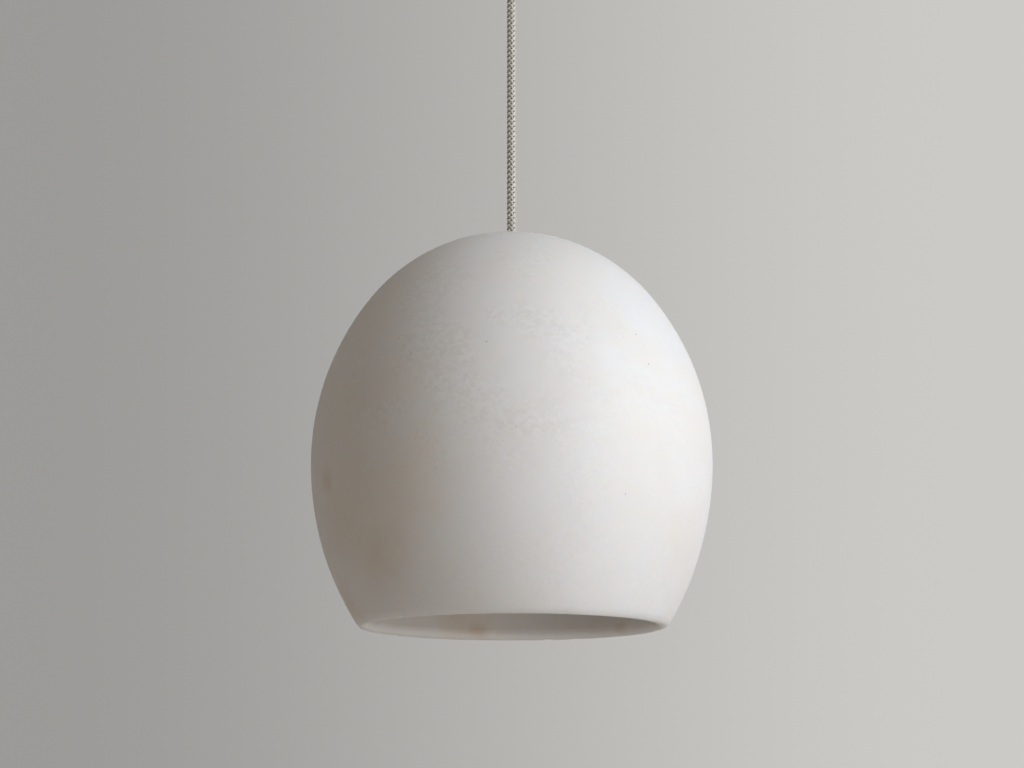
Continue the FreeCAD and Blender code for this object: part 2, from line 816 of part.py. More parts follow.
def buildRivets():
    """Two rivets that carry the terminals through the slab to the tongue and the shell."""
    body = newBody("contact_rivets", depth=f"{apex} + {slabTop}")
    lineEnd = "slab_thickness + tongue_thickness"
    neutralEnd = "slab_thickness + shell_wall"
    for place, end in (("-line_rivet_position", lineEnd), ("neutral_rivet_position", neutralEnd)):
        shank = newSketch(body, "XY_Plane", offset=f"-({end})")
        circles(shank, [(place, "0", "rivet_radius")])
        padded(body, shank, end)
        head = newSketch(body, "XY_Plane", offset=f"-({end} + rivet_head_height)")
        circles(head, [(place, "0", "rivet_head_radius")])
        padded(body, head, "rivet_head_height")


wireTurns = {"lower_neutral_wire": 0, "lower_earth_wire": 90, "lower_line_wire": 180}


def buildTerminalPosts():
    """Three brass terminals on the slab, each bored towards the cord and tapped from above."""
    body = newBody("holder_terminals", depth=f"{apex} + {slabTop}")
    sketch = newSketch(body, "XY_Plane")
    outline(sketch, rectangle("post_start", "post_start + post_length", "post_width / 2", "-post_width / 2"))
    block = padded(body, sketch, "post_height")
    bore = newSketch(body, "YZ_Plane")
    circles(bore, [("0", "post_height / 2", "post_bore")])
    boring = body.newObject("PartDesign::Pocket", "holder_terminals_bore")
    boring.Profile = bore
    boring.Type = "ThroughAll"
    boring.Reversed = True
    tapping = newSketch(body, "XY_Plane", offset="post_height")
    circles(tapping, [("post_screw_position", "0", "post_screw_radius + fit")])
    tapped = body.newObject("PartDesign::Pocket", "holder_terminals_tapping")
    tapped.Profile = tapping
    tapped.Length = number("post_height / 2")
    tapped.setExpression("Length", bound("post_height / 2"))
    repeatedRound(body, [block, boring, tapped], 3, sweep=180)


def buildPostScrews():
    """The three terminal screws, their tips on the cores."""
    body = newBody("holder_screws", depth=f"{apex} + {slabTop}")
    tip = "post_height / 2 + core_radius + fit"
    shank = newSketch(body, "XY_Plane", offset=tip)
    circles(shank, [(x, y, "post_screw_radius") for x, y in postScrewPlaces()])
    padded(body, shank, f"post_height + post_screw_head_height - ({tip})")
    heads = newSketch(body, "XY_Plane", offset="post_height")
    circles(heads, [(x, y, "post_screw_head") for x, y in postScrewPlaces()])
    padded(body, heads, "post_screw_head_height")


def postScrewPlaces():
    return [("post_screw_position", "0"), ("0", "post_screw_position"), ("-post_screw_position", "0")]


def buildEarthStrap():
    """The strip from the earth terminal up the inside of the metal cap."""
    body = newBody("earth_strap", depth=f"{apex} + {slabTop}", turn=90)
    face = f"{holderInside} - strap_clearance"
    sketch = newSketch(body, "XZ_Plane")
    outline(sketch, [
        ("post_start + post_length", "0"),
        (face, "0"),
        (face, "post_height"),
        (f"{face} - strap_thickness", "post_height"),
        (f"{face} - strap_thickness", "strap_thickness"),
        ("post_start + post_length", "strap_thickness"),
    ])
    padded(body, sketch, "strap_width", symmetric=True)


def buildBulb():
    """A frosted globe bulb with a screw base; the thread itself is left plain."""
    base = f"{contactTop} + contact_height + insulator_height"
    contact = newBody("bulb_contact", depth=f"{apex} + {contactTop}")
    turned(contact, [
        ("0", "0"),
        ("contact_radius - contact_height", "0", "cw", "contact_height"),
        ("contact_radius", "contact_height"),
        ("0", "contact_height"),
    ])
    insulator = newBody("bulb_insulator", depth=f"{apex} + {contactTop} + contact_height")
    turned(insulator, [
        ("0", "0"),
        ("contact_radius", "0"),
        ("insulator_radius", "insulator_height"),
        ("0", "insulator_height"),
    ])
    shell = newBody("bulb_base", depth=f"{apex} + {base}")
    turned(shell, [
        ("base_radius - base_ring_width", "0"),
        ("base_radius - base_round", "0", "cw", "base_round"),
        ("base_radius", "base_round"),
        ("base_radius", "base_height"),
        ("base_radius - base_wall", "base_height"),
        ("base_radius - base_wall", "base_wall"),
        ("base_radius - base_ring_width", "base_wall"),
    ])
    buildBulbGlass(base)
    module = newBody("led_module", depth=f"{apex} + {base} + base_wall")
    turned(module, [
        ("0", "0"),
        ("module_radius", "0"),
        ("module_radius", "module_height / 2"),
        ("module_post_radius", "module_height / 2 + module_taper"),
        ("module_post_radius", "module_height"),
        ("0", "module_height"),
    ])


def buildBulbGlass(base):
    """The bulb's envelope: a globe, a concave neck blend and a straight neck inside the base."""
    body = newBody("bulb_glass", depth=f"{apex} + {contactTop}")
    start = "contact_height + insulator_height + base_height - bulb_neck_overlap"
    reach = "(bulb_neck_radius + bulb_neck_blend)"
    span = "(bulb_radius + bulb_neck_blend)"
    rise = f"sqrt({span} ^ 2 - {reach} ^ 2)"
    inner = "(bulb_radius - bulb_wall)"
    turned(body, [
        ("bulb_neck_radius - bulb_wall", start),
        ("bulb_neck_radius", start),
        ("bulb_neck_radius", f"bulb_centre_depth - {rise}", "ccw", "bulb_neck_blend"),
        (f"bulb_radius * {reach} / {span}", f"bulb_centre_depth - bulb_radius * {rise} / {span}", "cw",
         "bulb_radius"),
        ("0", "bulb_centre_depth + bulb_radius"),
        ("0", f"bulb_centre_depth + {inner}", "ccw", inner),
        (f"{inner} * {reach} / {span}", f"bulb_centre_depth - {inner} * {rise} / {span}", "cw",
         "bulb_neck_blend + bulb_wall"),
        ("bulb_neck_radius - bulb_wall", f"bulb_centre_depth - {rise}"),
    ])


def roundedPath(points):
    """Straight runs through the points, joined by arcs as large as the runs allow."""
    edges = []
    start = points[0]
    radii = []
    for before, corner, after in zip(points, points[1:], points[2:]):
        back = (before - corner)
        ahead = (after - corner)
        half = (math.pi - back.getAngle(ahead)) / 2
        setback = 0.45 * min(back.Length, ahead.Length)
        radii.append(round(setback / math.tan(half), 2))
        back.normalize()
        ahead.normalize()
        entry = corner + back * setback
        leave = corner + ahead * setback
        middle = (back + ahead).normalize()
        centre = corner + middle * (setback / math.tan(half) / math.cos(half))
        edges.append(Part.LineSegment(start, entry).toShape())
        edges.append(Part.Arc(entry, centre - middle * radii[-1], leave).toShape())
        start = leave
    edges.append(Part.LineSegment(start, points[-1]).toShape())
    return Part.Wire(edges), radii


def core(label, route, depth="0", turn=0):
    """One insulated core of the cord along its route of (x, y, depth) points."""
    points = [FreeCAD.Vector(number(x), number(y), -number(down)) for x, y, down in route]
    path, radii = roundedPath(points)
    profile = Part.Wire(Part.Circle(points[0], points[1] - points[0], number("core_radius")).toShape())
    node = doc.addObject("Part::Feature", label)
    node.Label = label
    node.Shape = path.makePipeShell([profile], True, False)
    seat(node, depth=depth, turn=turn)
    nodes.append(node)
    ideal = math.pi * number("core_radius") ** 2 * path.Length
    print(f"{label}: bend radii {radii}, volume {node.Shape.Volume / ideal:.4f} of section times length")


def buildUpperCores():
    """The two live cores run up to the block's ways and the earth core to its lug."""
    diagonal = "core_offset / sqrt(2)"
    entry = "block_start - core_lead"
    for label, side in (("line_wire", "-"), ("neutral_wire", "")):
        core(label, [
            (diagonal, f"{side}{diagonal}", "jacket_top_depth"),
            (diagonal, f"{side}{diagonal}", "jacket_top_depth - core_rise"),
            (entry, f"{side}way_spacing / 2", wayDepth),
            ("block_start + terminal_screw_inset + core_grip", f"{side}way_spacing / 2", wayDepth),
        ])
    lugEnd = "lug_barrel_start + lug_barrel_length - earth_screw_offset"
    lugDepth = "bracket_thickness + core_radius + fit + lug_barrel_wall"
    core("earth_wire", [
        ("-core_offset", "0", "jacket_top_depth"),
        ("-core_offset", "0", "jacket_top_depth - core_rise"),
        (f"{lugEnd} + core_lead", "0", lugDepth),
        (f"{lugEnd} - core_grip", "0", lugDepth),
    ])


def buildLowerCores():
    """The three cores bend out of the jacket into the lampholder's terminals."""
    for label, turn in wireTurns.items():
        core(label, [
            ("core_offset", "0", jacketEnd),
            ("core_offset", "0", f"{slabTop} - post_height / 2"),
            ("post_screw_position", "0", f"{slabTop} - post_height / 2"),
        ], depth=apex, turn=turn)


def check():
    """Stop if a feature has failed or a sub-part isn't a valid solid."""
    failed = [item.Label for item in doc.Objects if {"Invalid", "Error"} & set(item.State)]
    for node in nodes:
        shape = node.Shape
        if shape.isNull() or not shape.isValid() or not shape.Solids:
            failed.append(node.Label)
    if failed:
        raise RuntimeError(f"failed: {failed}")


buildBracket()
buildCanopy()
buildSideScrews()
buildTerminalBlock()
buildTerminalInserts()
buildTerminalScrews()
buildBlockScrew()
buildEarthLug()
buildEarthScrew()
buildUpperCores()
buildCollar()
buildGripScrew()
buildLockWasher()
hexagonalNut("collar_nut", f"{washerTop} - nut_height", "nut_height")
straightCord("cord_tail", "jacket_top_depth", f"{pivot} - ({neckReach}) - jacket_top_depth")
buildNeck()
straightCord("cord", f"{pivot} + {neckReach}", f"cord_drop + {jacketEnd} + pivot_rise - ({neckReach})")
buildShade()
pendantRing("shade_nipple", nippleTop, "nipple_bore", "stem_radius", f"{clampTop} - ({nippleTop})")
pendantRing("centering_bush", f"{seatTop} - bush_length", threadRadius, bushRadius, "bush_length")
pendantRing("seat_washer", seatTop, "stem_radius + washer_gap", "seat_radius", "seat_washer_thickness")
pendantRing("support_disc", discTop, threadRadius, "seat_radius", "disc_thickness")
hexagonalNut("disc_nut", f"{apex} + {discNutTop}", "disc_nut_height")
buildHolderCap()
buildCordClamp()
buildClampScrews()
buildHolderInsert()
buildHolderSkirt()
buildScrewShell()
buildCentreContact()
buildRivets()
buildTerminalPosts()
buildPostScrews()
buildEarthStrap()
buildLowerCores()
buildBulb()

doc.recompute()
check()
os.makedirs("parts", exist_ok=True)
for node in nodes:
    node.Shape.exportStep(f"parts/{node.Label}.step")
    box = node.Shape.BoundBox
    print(f"{node.Label}: {len(node.Shape.Solids)} solid(s), z {box.ZMin:.1f} to {box.ZMax:.1f}")
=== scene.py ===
import math
import random
import bmesh
import bpy
from mathutils import Matrix, Vector, noise


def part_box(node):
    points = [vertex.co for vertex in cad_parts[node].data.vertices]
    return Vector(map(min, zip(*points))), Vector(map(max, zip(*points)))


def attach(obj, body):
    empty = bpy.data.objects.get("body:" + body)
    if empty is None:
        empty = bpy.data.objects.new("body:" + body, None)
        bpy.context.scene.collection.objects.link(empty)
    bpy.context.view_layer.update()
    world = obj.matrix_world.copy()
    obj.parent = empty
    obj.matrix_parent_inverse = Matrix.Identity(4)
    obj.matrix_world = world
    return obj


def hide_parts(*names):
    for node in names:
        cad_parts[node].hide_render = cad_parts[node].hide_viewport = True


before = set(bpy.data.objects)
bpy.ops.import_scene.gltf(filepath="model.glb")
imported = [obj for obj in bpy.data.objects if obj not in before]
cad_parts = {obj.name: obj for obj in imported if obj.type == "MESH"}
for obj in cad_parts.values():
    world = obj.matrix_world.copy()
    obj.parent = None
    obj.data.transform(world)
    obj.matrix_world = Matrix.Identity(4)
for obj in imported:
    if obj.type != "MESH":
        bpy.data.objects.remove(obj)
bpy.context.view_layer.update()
print("frame loaded with", len(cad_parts), "nodes")

fullTurn = 2 * math.pi


camera = {
    "place": (0.0002, -2.05, -0.690),
    "pitch": 9.81,          # degrees above the horizon
    "lens": 104.4,
    "sensor": 36,
}

light = {
    "target": (0, 0, -0.36),
    "key": {"turn": 58, "rise": 22, "distance": 2.3, "size": 1.8,
            "power": 41.0, "colour": (0.91, 0.95, 1.0)},
    "bounce": {"turn": 48, "rise": -22, "distance": 1.8, "size": 0.9,
               "power": 6.0, "colour": (1.0, 0.93, 0.89)},
    "fillColour": (1.0, 0.885, 0.76),
    "fillAbove": 0.215,
    "fillBelow": 0.45,      # light thrown back by the floor, straight up into the stone
}

surroundings = {
    # painted light: the background is darker on the left and lighter on the right, as if lit from the right
    "left": (0.33, 0.325, 0.315),
    "right": (0.60, 0.59, 0.57),
    "floorDrop": 2.5,
    "floorRadius": 4.0,
    "floorColour": (0.80, 0.79, 0.77),
    "floorSolid": 0.45,     # of its radius, then it fades out
    "floorClear": 0.95,
    "spread": 0.16,         # sideways reach of the painted change from the shaded left to the lit right
    "lowest": -0.80,        # the fill goes from below to above between these two
    "highest": -0.38,
}


def addNode(tree, kind, inputs=None, **settings):
    # a node with its sockets set or linked by name or number
    node = tree.nodes.new("ShaderNode" + kind)
    for key, value in settings.items():
        setattr(node, key, value)
    for name, value in (inputs or {}).items():
        if isinstance(value, bpy.types.NodeSocket):
            tree.links.new(value, node.inputs[name])
        else:
            node.inputs[name].default_value = value
    return node


def opaque(colour):
    return (*colour, 1)


def maths(tree, operation, first, second=0.0, clamp=False):
    return addNode(tree, "Math", {0: first, 1: second}, operation=operation, use_clamp=clamp).outputs[0]


def mixed(tree, factor, first, second, mode="MIX"):
    node = addNode(tree, "Mix", {0: factor, 6: first, 7: second}, data_type="RGBA", blend_type=mode)
    return node.outputs[2]


def ranged(tree, value, low, high, newLow=0.0, newHigh=1.0, smooth=False):
    inputs = {"Value": value, "From Min": low, "From Max": high, "To Min": newLow, "To Max": newHigh}
    kind = "SMOOTHSTEP" if smooth else "LINEAR"
    return addNode(tree, "MapRange", inputs, interpolation_type=kind).outputs[0]


def buildCamera():
    data = bpy.data.cameras.new("camera")
    data.lens = camera["lens"]
    data.sensor_width = camera["sensor"]
    holder = bpy.data.objects.new("camera", data)
    bpy.context.scene.collection.objects.link(holder)
    holder.location = camera["place"]
    holder.rotation_euler = (math.radians(90 + camera["pitch"]), 0, 0)
    bpy.context.scene.camera = holder


def buildLamp(name):
    # a soft round lamp; turn is in degrees to the right of the view, and rise above the level
    facts = light[name]
    data = bpy.data.lights.new(name, "AREA")
    data.shape = "DISK"
    data.size = facts["size"]
    data.energy = facts["power"]
    data.color = facts["colour"]
    holder = bpy.data.objects.new(name, data)
    bpy.context.scene.collection.objects.link(holder)
    turn, rise = math.radians(facts["turn"]), math.radians(facts["rise"])
    away = Vector((math.sin(turn) * math.cos(rise), -math.cos(turn) * math.cos(rise), math.sin(rise)))
    holder.location = Vector(light["target"]) + away * facts["distance"]
    holder.rotation_euler = away.to_track_quat("Z", "Y").to_euler()


def buildWorld():
    # even warm fill for the object, and a pale background for what looks at it, painted darker on the left
    # and lighter on the right as if lit from the right
    world = bpy.data.worlds.new("surroundings")
    bpy.context.scene.world = world
    world.use_nodes = True
    tree = world.node_tree
    tree.nodes.clear()
    direction = addNode(tree, "TexCoord").outputs["Generated"]
    part = addNode(tree, "SeparateXYZ", {0: direction}).outputs
    shade = ranged(tree, part[0], -surroundings["spread"], surroundings["spread"], smooth=True)
    strength = ranged(tree, part[2], surroundings["lowest"], surroundings["highest"],
                      light["fillBelow"], light["fillAbove"], smooth=True)
    backdropLitFromRight = mixed(tree, shade, opaque(surroundings["left"]), opaque(surroundings["right"]))
    seen = addNode(tree, "LightPath").outputs
    direct = maths(tree, "ADD", seen["Is Camera Ray"], seen["Is Glossy Ray"])
    direct = maths(tree, "ADD", direct, seen["Is Transmission Ray"], clamp=True)
    fill = addNode(tree, "Background", {"Color": opaque(light["fillColour"]), "Strength": strength})
    plain = addNode(tree, "Background", {"Color": backdropLitFromRight, "Strength": 1.0})
    both = addNode(tree, "MixShader", {0: direct, 1: fill.outputs[0], 2: plain.outputs[0]})
    addNode(tree, "OutputWorld", {0: both.outputs[0]})


def buildFloor():
    # a pale round floor far below, clear at its edge and from beneath
    radius = surroundings["floorRadius"]
    bpy.ops.mesh.primitive_grid_add(x_subdivisions=8, y_subdivisions=8, size=2 * radius)
    floor = bpy.context.object
    floor.name = "floor"
    floor.location.z = -surroundings["floorDrop"]
    material = bpy.data.materials.new("floor_pale")
    material.use_nodes = True
    tree = material.node_tree
    tree.nodes.clear()
    place = addNode(tree, "TexCoord").outputs["Object"]
    distance = addNode(tree, "VectorMath", {0: place}, operation="LENGTH").outputs["Value"]
    fadeStart, fadeEnd = radius * surroundings["floorSolid"], radius * surroundings["floorClear"]
    solid = ranged(tree, distance, fadeStart, fadeEnd, 1.0, 0.0, smooth=True)
    beneath = maths(tree, "SUBTRACT", 1.0, addNode(tree, "NewGeometry").outputs["Backfacing"])
    solid = maths(tree, "MULTIPLY", solid, beneath)
    colour = opaque(surroundings["floorColour"])
    surface = addNode(tree, "BsdfPrincipled", {"Base Color": colour, "Roughness": 0.8, "Alpha": solid})
    addNode(tree, "OutputMaterial", {0: surface.outputs[0]})
    floor.data.materials.append(material)


buildCamera()
buildLamp("key")
buildLamp("bounce")
buildWorld()
buildFloor()
bpy.context.scene.view_settings.view_transform = "Standard"
print("camera and light are set")


def placed(node):
    # the lowest and highest corners of a CAD node, and its centre
    low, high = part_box(node)
    return low, high, (low + high) / 2


def ringFaces(rows, count, loop):
    faces = []
    for row in range(rows if loop else rows - 1):
        here, there = row * count, (row + 1) % rows * count
        for column in range(count):
            after = (column + 1) % count
            faces.append((here + column, here + after, there + after, there + column))
    return faces


def turned(outline, segments, shape=None):
    # a closed outline of (radius, height) turned about the Z axis, as points and faces
    points = []
    for radius, height in outline:
        for step in range(segments):
            angle = fullTurn * step / segments
            r, z = shape(radius, height, angle) if shape else (radius, height)
            points.append((r * math.cos(angle), r * math.sin(angle), z))
    return points, ringFaces(len(outline), segments, loop=True)


def moved(part, matrix):
    points, faces = part
    return [tuple(matrix @ Vector(point)) for point in points], faces


def meshOf(name, *parts):
    points, faces = [], []
    for partPoints, partFaces in parts:
        start = len(points)
        points.extend(partPoints)
        faces.extend(tuple(start + index for index in face) for face in partFaces)
    mesh = bpy.data.meshes.new(name)
    mesh.from_pydata(points, [], faces)
    model = bmesh.new()
    model.from_mesh(mesh)
    bmesh.ops.recalc_face_normals(model, faces=model.faces)
    model.to_mesh(mesh)
    model.free()
    return mesh


def addPiece(name, mesh, material, body, stands=(), sharp=40):
    piece = bpy.data.objects.new(name, mesh)
    bpy.context.scene.collection.objects.link(piece)
    mesh.polygons.foreach_set("use_smooth", [True] * len(mesh.polygons))
    mesh.set_sharp_from_angle(angle=math.radians(sharp))
    if material:
        mesh.materials.append(material)
    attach(piece, body)
    if stands:
        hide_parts(*stands)
    return piece


def steps(start, end, count):
    return [start + (end - start) * index / count for index in range(count + 1)]


def arc(centre, radius, start, end, count):
    # points on an arc from one angle to another, in degrees
    angles = [math.radians(angle) for angle in steps(start, end, count)]
    return [(centre[0] + radius * math.cos(angle), centre[1] + radius * math.sin(angle)) for angle in angles]


def newGroup(name, inputs, outputs):
    # a shared effect's tree; an input is a number, a colour, or a vector where it is None
    kinds = {float: "Float", tuple: "Color", type(None): "Vector"}
    group = bpy.data.node_groups.new(name, "ShaderNodeTree")
    for label, value in inputs.items():
        kind = "NodeSocket" + kinds[type(value)]
        socket = group.interface.new_socket(name=label, in_out="INPUT", socket_type=kind)
        if value is not None:
            socket.default_value = value
    for label, kind in outputs.items():
        group.interface.new_socket(name=label, in_out="OUTPUT", socket_type="NodeSocket" + kind)
    enter = group.nodes.new("NodeGroupInput").outputs
    leave = group.nodes.new("NodeGroupOutput").inputs
    return group, enter, leave


def effect(tree, group, **values):
    # a shared effect in a material; spaces in socket names are written as underscores
    node = addNode(tree, "Group", node_tree=group)
    for label, value in values.items():
        socket = node.inputs[label.replace("_", " ")]
        if isinstance(value, bpy.types.NodeSocket):
            tree.links.new(value, socket)
        else:
            socket.default_value = value
    return node.outputs


def buildMottle():
    # two tones that drift into each other
    group, enter, leave = newGroup(
        "mottle",
        {"Vector": None, "Scale": 10.0, "Low": 0.35, "High": 0.65,
         "First": (1, 1, 1, 1), "Second": (0, 0, 0, 1)},
        {"Color": "Color", "Mask": "Float"},
    )
    cloud = addNode(group, "TexNoise", {"Vector": enter["Vector"], "Scale": enter["Scale"], "Detail": 4.0,
                                        "Roughness": 0.55, "Distortion": 0.4})
    mask = addNode(group, "MapRange", {"Value": cloud.outputs[0], "From Min": enter["Low"],
                                       "From Max": enter["High"]}, interpolation_type="SMOOTHSTEP").outputs[0]
    group.links.new(mixed(group, mask, enter["First"], enter["Second"]), leave["Color"])
    group.links.new(mask, leave["Mask"])
    return group


def buildGrain():
    # fine even grain as a value about 0.5 and a height
    group, enter, leave = newGroup("grain", {"Vector": None, "Scale": 900.0, "Coarse": 0.3},
                                   {"Value": "Float", "Height": "Float"})
    fine = addNode(group, "TexNoise", {"Vector": enter["Vector"], "Scale": enter["Scale"], "Detail": 3.0})
    wide = maths(group, "MULTIPLY", enter["Scale"], 0.18)
    broad = addNode(group, "TexNoise", {"Vector": enter["Vector"], "Scale": wide, "Detail": 2.0})
    both = addNode(group, "Mix", {0: enter["Coarse"], 2: fine.outputs[0], 3: broad.outputs[0]}).outputs[0]
    group.links.new(both, leave["Value"])
    group.links.new(both, leave["Height"])
    return group


def buildDust():
    # where dust settles: faces that look up, broken by patches
    group, enter, leave = newGroup("dust", {"Vector": None, "Scale": 60.0, "Amount": 0.3}, {"Mask": "Float"})
    up = addNode(group, "SeparateXYZ", {0: addNode(group, "NewGeometry").outputs["Normal"]}).outputs[2]
    facing = ranged(group, up, 0.3, 1.0)
    patch = addNode(group, "TexNoise", {"Vector": enter["Vector"], "Scale": enter["Scale"], "Detail": 5.0})
    broken = ranged(group, patch.outputs[0], 0.3, 0.7)
    mask = maths(group, "MULTIPLY", maths(group, "MULTIPLY", facing, broken), enter["Amount"])
    group.links.new(mask, leave["Mask"])
    return group


mottle = buildMottle()
grain = buildGrain()
dust = buildDust()


def newMaterial(name, **plain):
    # a material with its surface shader; plain values sit on the shader's own sockets
    material = bpy.data.materials.new(name)
    material.use_nodes = True
    tree = material.node_tree
    tree.nodes.clear()
    surface = addNode(tree, "BsdfPrincipled", {key.replace("_", " "): value for key, value in plain.items()})
    addNode(tree, "OutputMaterial", {0: surface.outputs[0]})
    return material, tree


def place(tree):
    return addNode(tree, "TexCoord").outputs["Object"]


def join(tree, **sockets):
    # links outputs to the surface shader's sockets
    surface = [node for node in tree.nodes if node.type == "BSDF_PRINCIPLED"][0]
    for label, output in sockets.items():
        tree.links.new(output, surface.inputs[label.replace("_", " ")])


def raised(tree, height, distance, strength=1.0):
    bump = addNode(tree, "Bump", {"Height": height, "Distance": distance, "Strength": strength})
    return bump.outputs[0]


apexHeight = -0.229     # the crown's arc would peak here; the cord hole takes the peak away
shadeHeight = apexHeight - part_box("shade")[0].z

stone = {
    "radius": 0.140,
    "widest": 0.163,        # depths below the apex
    "rim": 0.107,
    "shoulder": 51,         # degrees, where the crown's arc meets the shoulder's
    "wall": 0.009,
    "crown": 0.016,
    "hole": 0.0040,
    "bushBore": 0.0061,
    "bushTop": 0.006,
    "holeRound": 0.0008,
    "innerRound": 0.0044,
    "turnIn": 13,           # degrees that the side turns in above the rim
    "turnInRadius": 0.026,
    "crispRound": 0.0009,   # the rim's outer edge on most of its way round
    "wornRound": 0.0052,    # and where handling has softened it, on the right
    "wornTurn": 2,          # degrees from +X
    "wornSpread": 38,
    "rimDrop": 0.0005,      # the hand-finished rim is a little lower than drawn
    "rimShift": 0.0008,     # and sits a little to the right
    "shiftFrom": 0.215,     # depth where that starts
    "frostPlace": (-0.030, -0.118, -0.095),   # where the crystals are densest, from the apex
    "frostCore": 0.035,
    "frostReach": 0.115,
    "columns": 404,
    "rimRows": 5,           # rows of the mesh on the rim's underside
    "waves": ((9, 0.00030), (26, 0.00012), (70, 0.00005)),   # waves per metre, depth
    "chips": 34,
    "chipWidth": (0.0020, 0.0052),
    "chipDepth": (0.10, 0.20),   # of the width
    "chipInset": (0.0012, 0.0006),   # in from the inner edge and from the outer edge
    "chipLift": 0.0004,
    "chipReach": 0.012,     # height above the rim where chips can be
    "smoothTop": 0.012,     # radius round the cord hole that stays even
    "seed": 11,
}

stoneFinish = {
    "pale": (0.895, 0.890, 0.895, 1),
    "warm": (0.885, 0.855, 0.820, 1),
    "olive": (0.80, 0.79, 0.73, 1),
    "mauve": (0.85, 0.81, 0.81, 1),
    "rust": (0.66, 0.48, 0.35, 1),
    "crystalGlint": (0.95, 0.95, 0.97, 1),
    "pit": (0.34, 0.30, 0.27, 1),
    "paintedInnerLight": (0.985, 0.965, 0.945, 1),   # painted light: the inside is made paler to stand for light coming through the stone
}

# soft stains in the stone: place in metres from the apex, radius and strength
stains = (
    ((-0.083, -0.093, -0.237), 0.034, 0.17),
    ((-0.100, -0.060, -0.220), 0.055, 0.13),
    ((-0.126, -0.060, -0.183), 0.014, 0.22),
    ((-0.110, -0.028, -0.262), 0.030, 0.24),
    ((0.115, -0.056, -0.228), 0.045, 0.12),
    ((0.032, -0.120, -0.135), 0.040, 0.12),
    ((-0.034, 0.090, -0.262), 0.032, 0.26),
    ((-0.024, 0.095, -0.271), 0.011, 0.45),
    ((0.074, 0.062, -0.272), 0.011, 0.45),
    ((0.096, 0.014, -0.270), 0.009, 0.55),
    ((0.060, 0.115, -0.120), 0.060, 0.14),
    ((-0.080, 0.100, -0.200), 0.045, 0.18),
)


def stoneOutline(rimRound):
    # the closed outline of the shade at one place round its rim, as (radius, depth below the apex)
    height = shadeHeight + stone["rimDrop"]
    radius, widest, wall = stone["radius"], stone["widest"], stone["wall"]
    turn = math.radians(stone["shoulder"])
    blend = math.cos(turn) + math.sin(turn) - 1
    crownArc = (radius * math.cos(turn) - widest * (1 - math.sin(turn))) / blend
    shoulderArc = (widest * math.sin(turn) - radius * (1 - math.cos(turn))) / blend
    taper, drop = radius - stone["rim"], shadeHeight - widest
    sideArc = (taper ** 2 + drop ** 2) / (2 * taper)
    lean = math.degrees(math.asin((height - widest) / sideArc))
    innerLean = math.degrees(math.asin((height - widest) / (sideArc - wall)))
    crownCentre = (0, crownArc)
    shoulderCentre = (radius - shoulderArc, widest)
    sideCentre = (radius - sideArc, widest)

    hole, holeRound = stone["hole"], stone["holeRound"]
    lipStart = math.degrees(math.asin((hole + holeRound) / crownArc))
    lipDepth = crownArc - math.sqrt(crownArc ** 2 - (hole + holeRound) ** 2)
    outline = arc((hole + holeRound, lipDepth + holeRound), holeRound, 180, 270, 5)[:-1]
    outline += arc(crownCentre, crownArc, -90 + lipStart, -90 + stone["shoulder"], 40)[:-1]
    outline += arc(shoulderCentre, shoulderArc, -90 + stone["shoulder"], 0, 36)[:-1]

    # the outer edge of the rim: a round between the leaning side and the flat underside
    rimLean = lean + stone["turnIn"]
    slope, turnRadius = math.radians(rimLean), stone["turnInRadius"]
    drop = (height - widest - turnRadius * math.sin(slope)) / (sideArc - turnRadius)
    sideEnd = math.degrees(math.asin(drop))
    turnCentre = arc(sideCentre, sideArc - turnRadius, sideEnd, sideEnd, 1)[0]
    rimOutside = turnCentre[0] + turnRadius * math.cos(slope)
    edge = (rimOutside - rimRound * (1 - math.sin(slope)) / math.cos(slope), height - rimRound)
    setBack = math.degrees(rimRound / math.tan(math.radians(45 + rimLean / 2)) / turnRadius)
    outline += arc(sideCentre, sideArc, 0, sideEnd, 52)[:-1]
    outline += arc(turnCentre, turnRadius, sideEnd, rimLean - setBack, 8)[:-1]
    outline += arc(edge, rimRound, rimLean, 90, 9)

    innerSlope = math.radians(innerLean)
    rimInside = radius - sideArc + (sideArc - wall) * math.cos(innerSlope)
    reach = (1 + math.sin(innerSlope)) / math.cos(innerSlope)
    inner = min(stone["innerRound"], (edge[0] - rimInside - 0.0003) / reach)
    innerEdge = (rimInside + inner * reach, height - inner)
    outline += [(x, height) for x in steps(outline[-1][0], innerEdge[0], 3)[1:-1]]
    outline += arc(innerEdge, inner, 90, 180 + innerLean, 7)
    innerBack = math.degrees(inner * reach / (sideArc - wall))
    outline += arc(sideCentre, sideArc - wall, innerLean - innerBack, 0, 34)[:-1]
    outline += arc(shoulderCentre, shoulderArc - wall, 0, -90 + stone["shoulder"], 22)[:-1]
    innerCrown = crownArc - wall
    seatTurn = math.degrees(math.acos((crownArc - stone["crown"]) / innerCrown))
    outline += arc(crownCentre, innerCrown, -90 + stone["shoulder"], -90 + seatTurn, 14)
    seatRadius = innerCrown * math.sin(math.radians(seatTurn))
    outline += [(x, stone["crown"]) for x in steps(seatRadius, stone["bushBore"], 8)[1:]]
    outline += [(stone["bushBore"], z) for z in steps(stone["crown"], stone["bushTop"], 4)[1:]]
    outline += [(hole, stone["bushTop"]), (hole, (stone["bushTop"] + lipDepth) / 2)]
    return outline


def rimRoundAt(angle):
    away = math.degrees(math.atan2(math.sin(angle - math.radians(stone["wornTurn"])),
                                   math.cos(angle - math.radians(stone["wornTurn"]))))
    worn = math.exp(-(away / stone["wornSpread"]) ** 2)
    uneven = 0.2 * noise.noise(Vector((math.cos(angle) * 4, math.sin(angle) * 4, 3)))
    return stone["crispRound"] + (stone["wornRound"] - stone["crispRound"]) * worn * (1 + uneven)


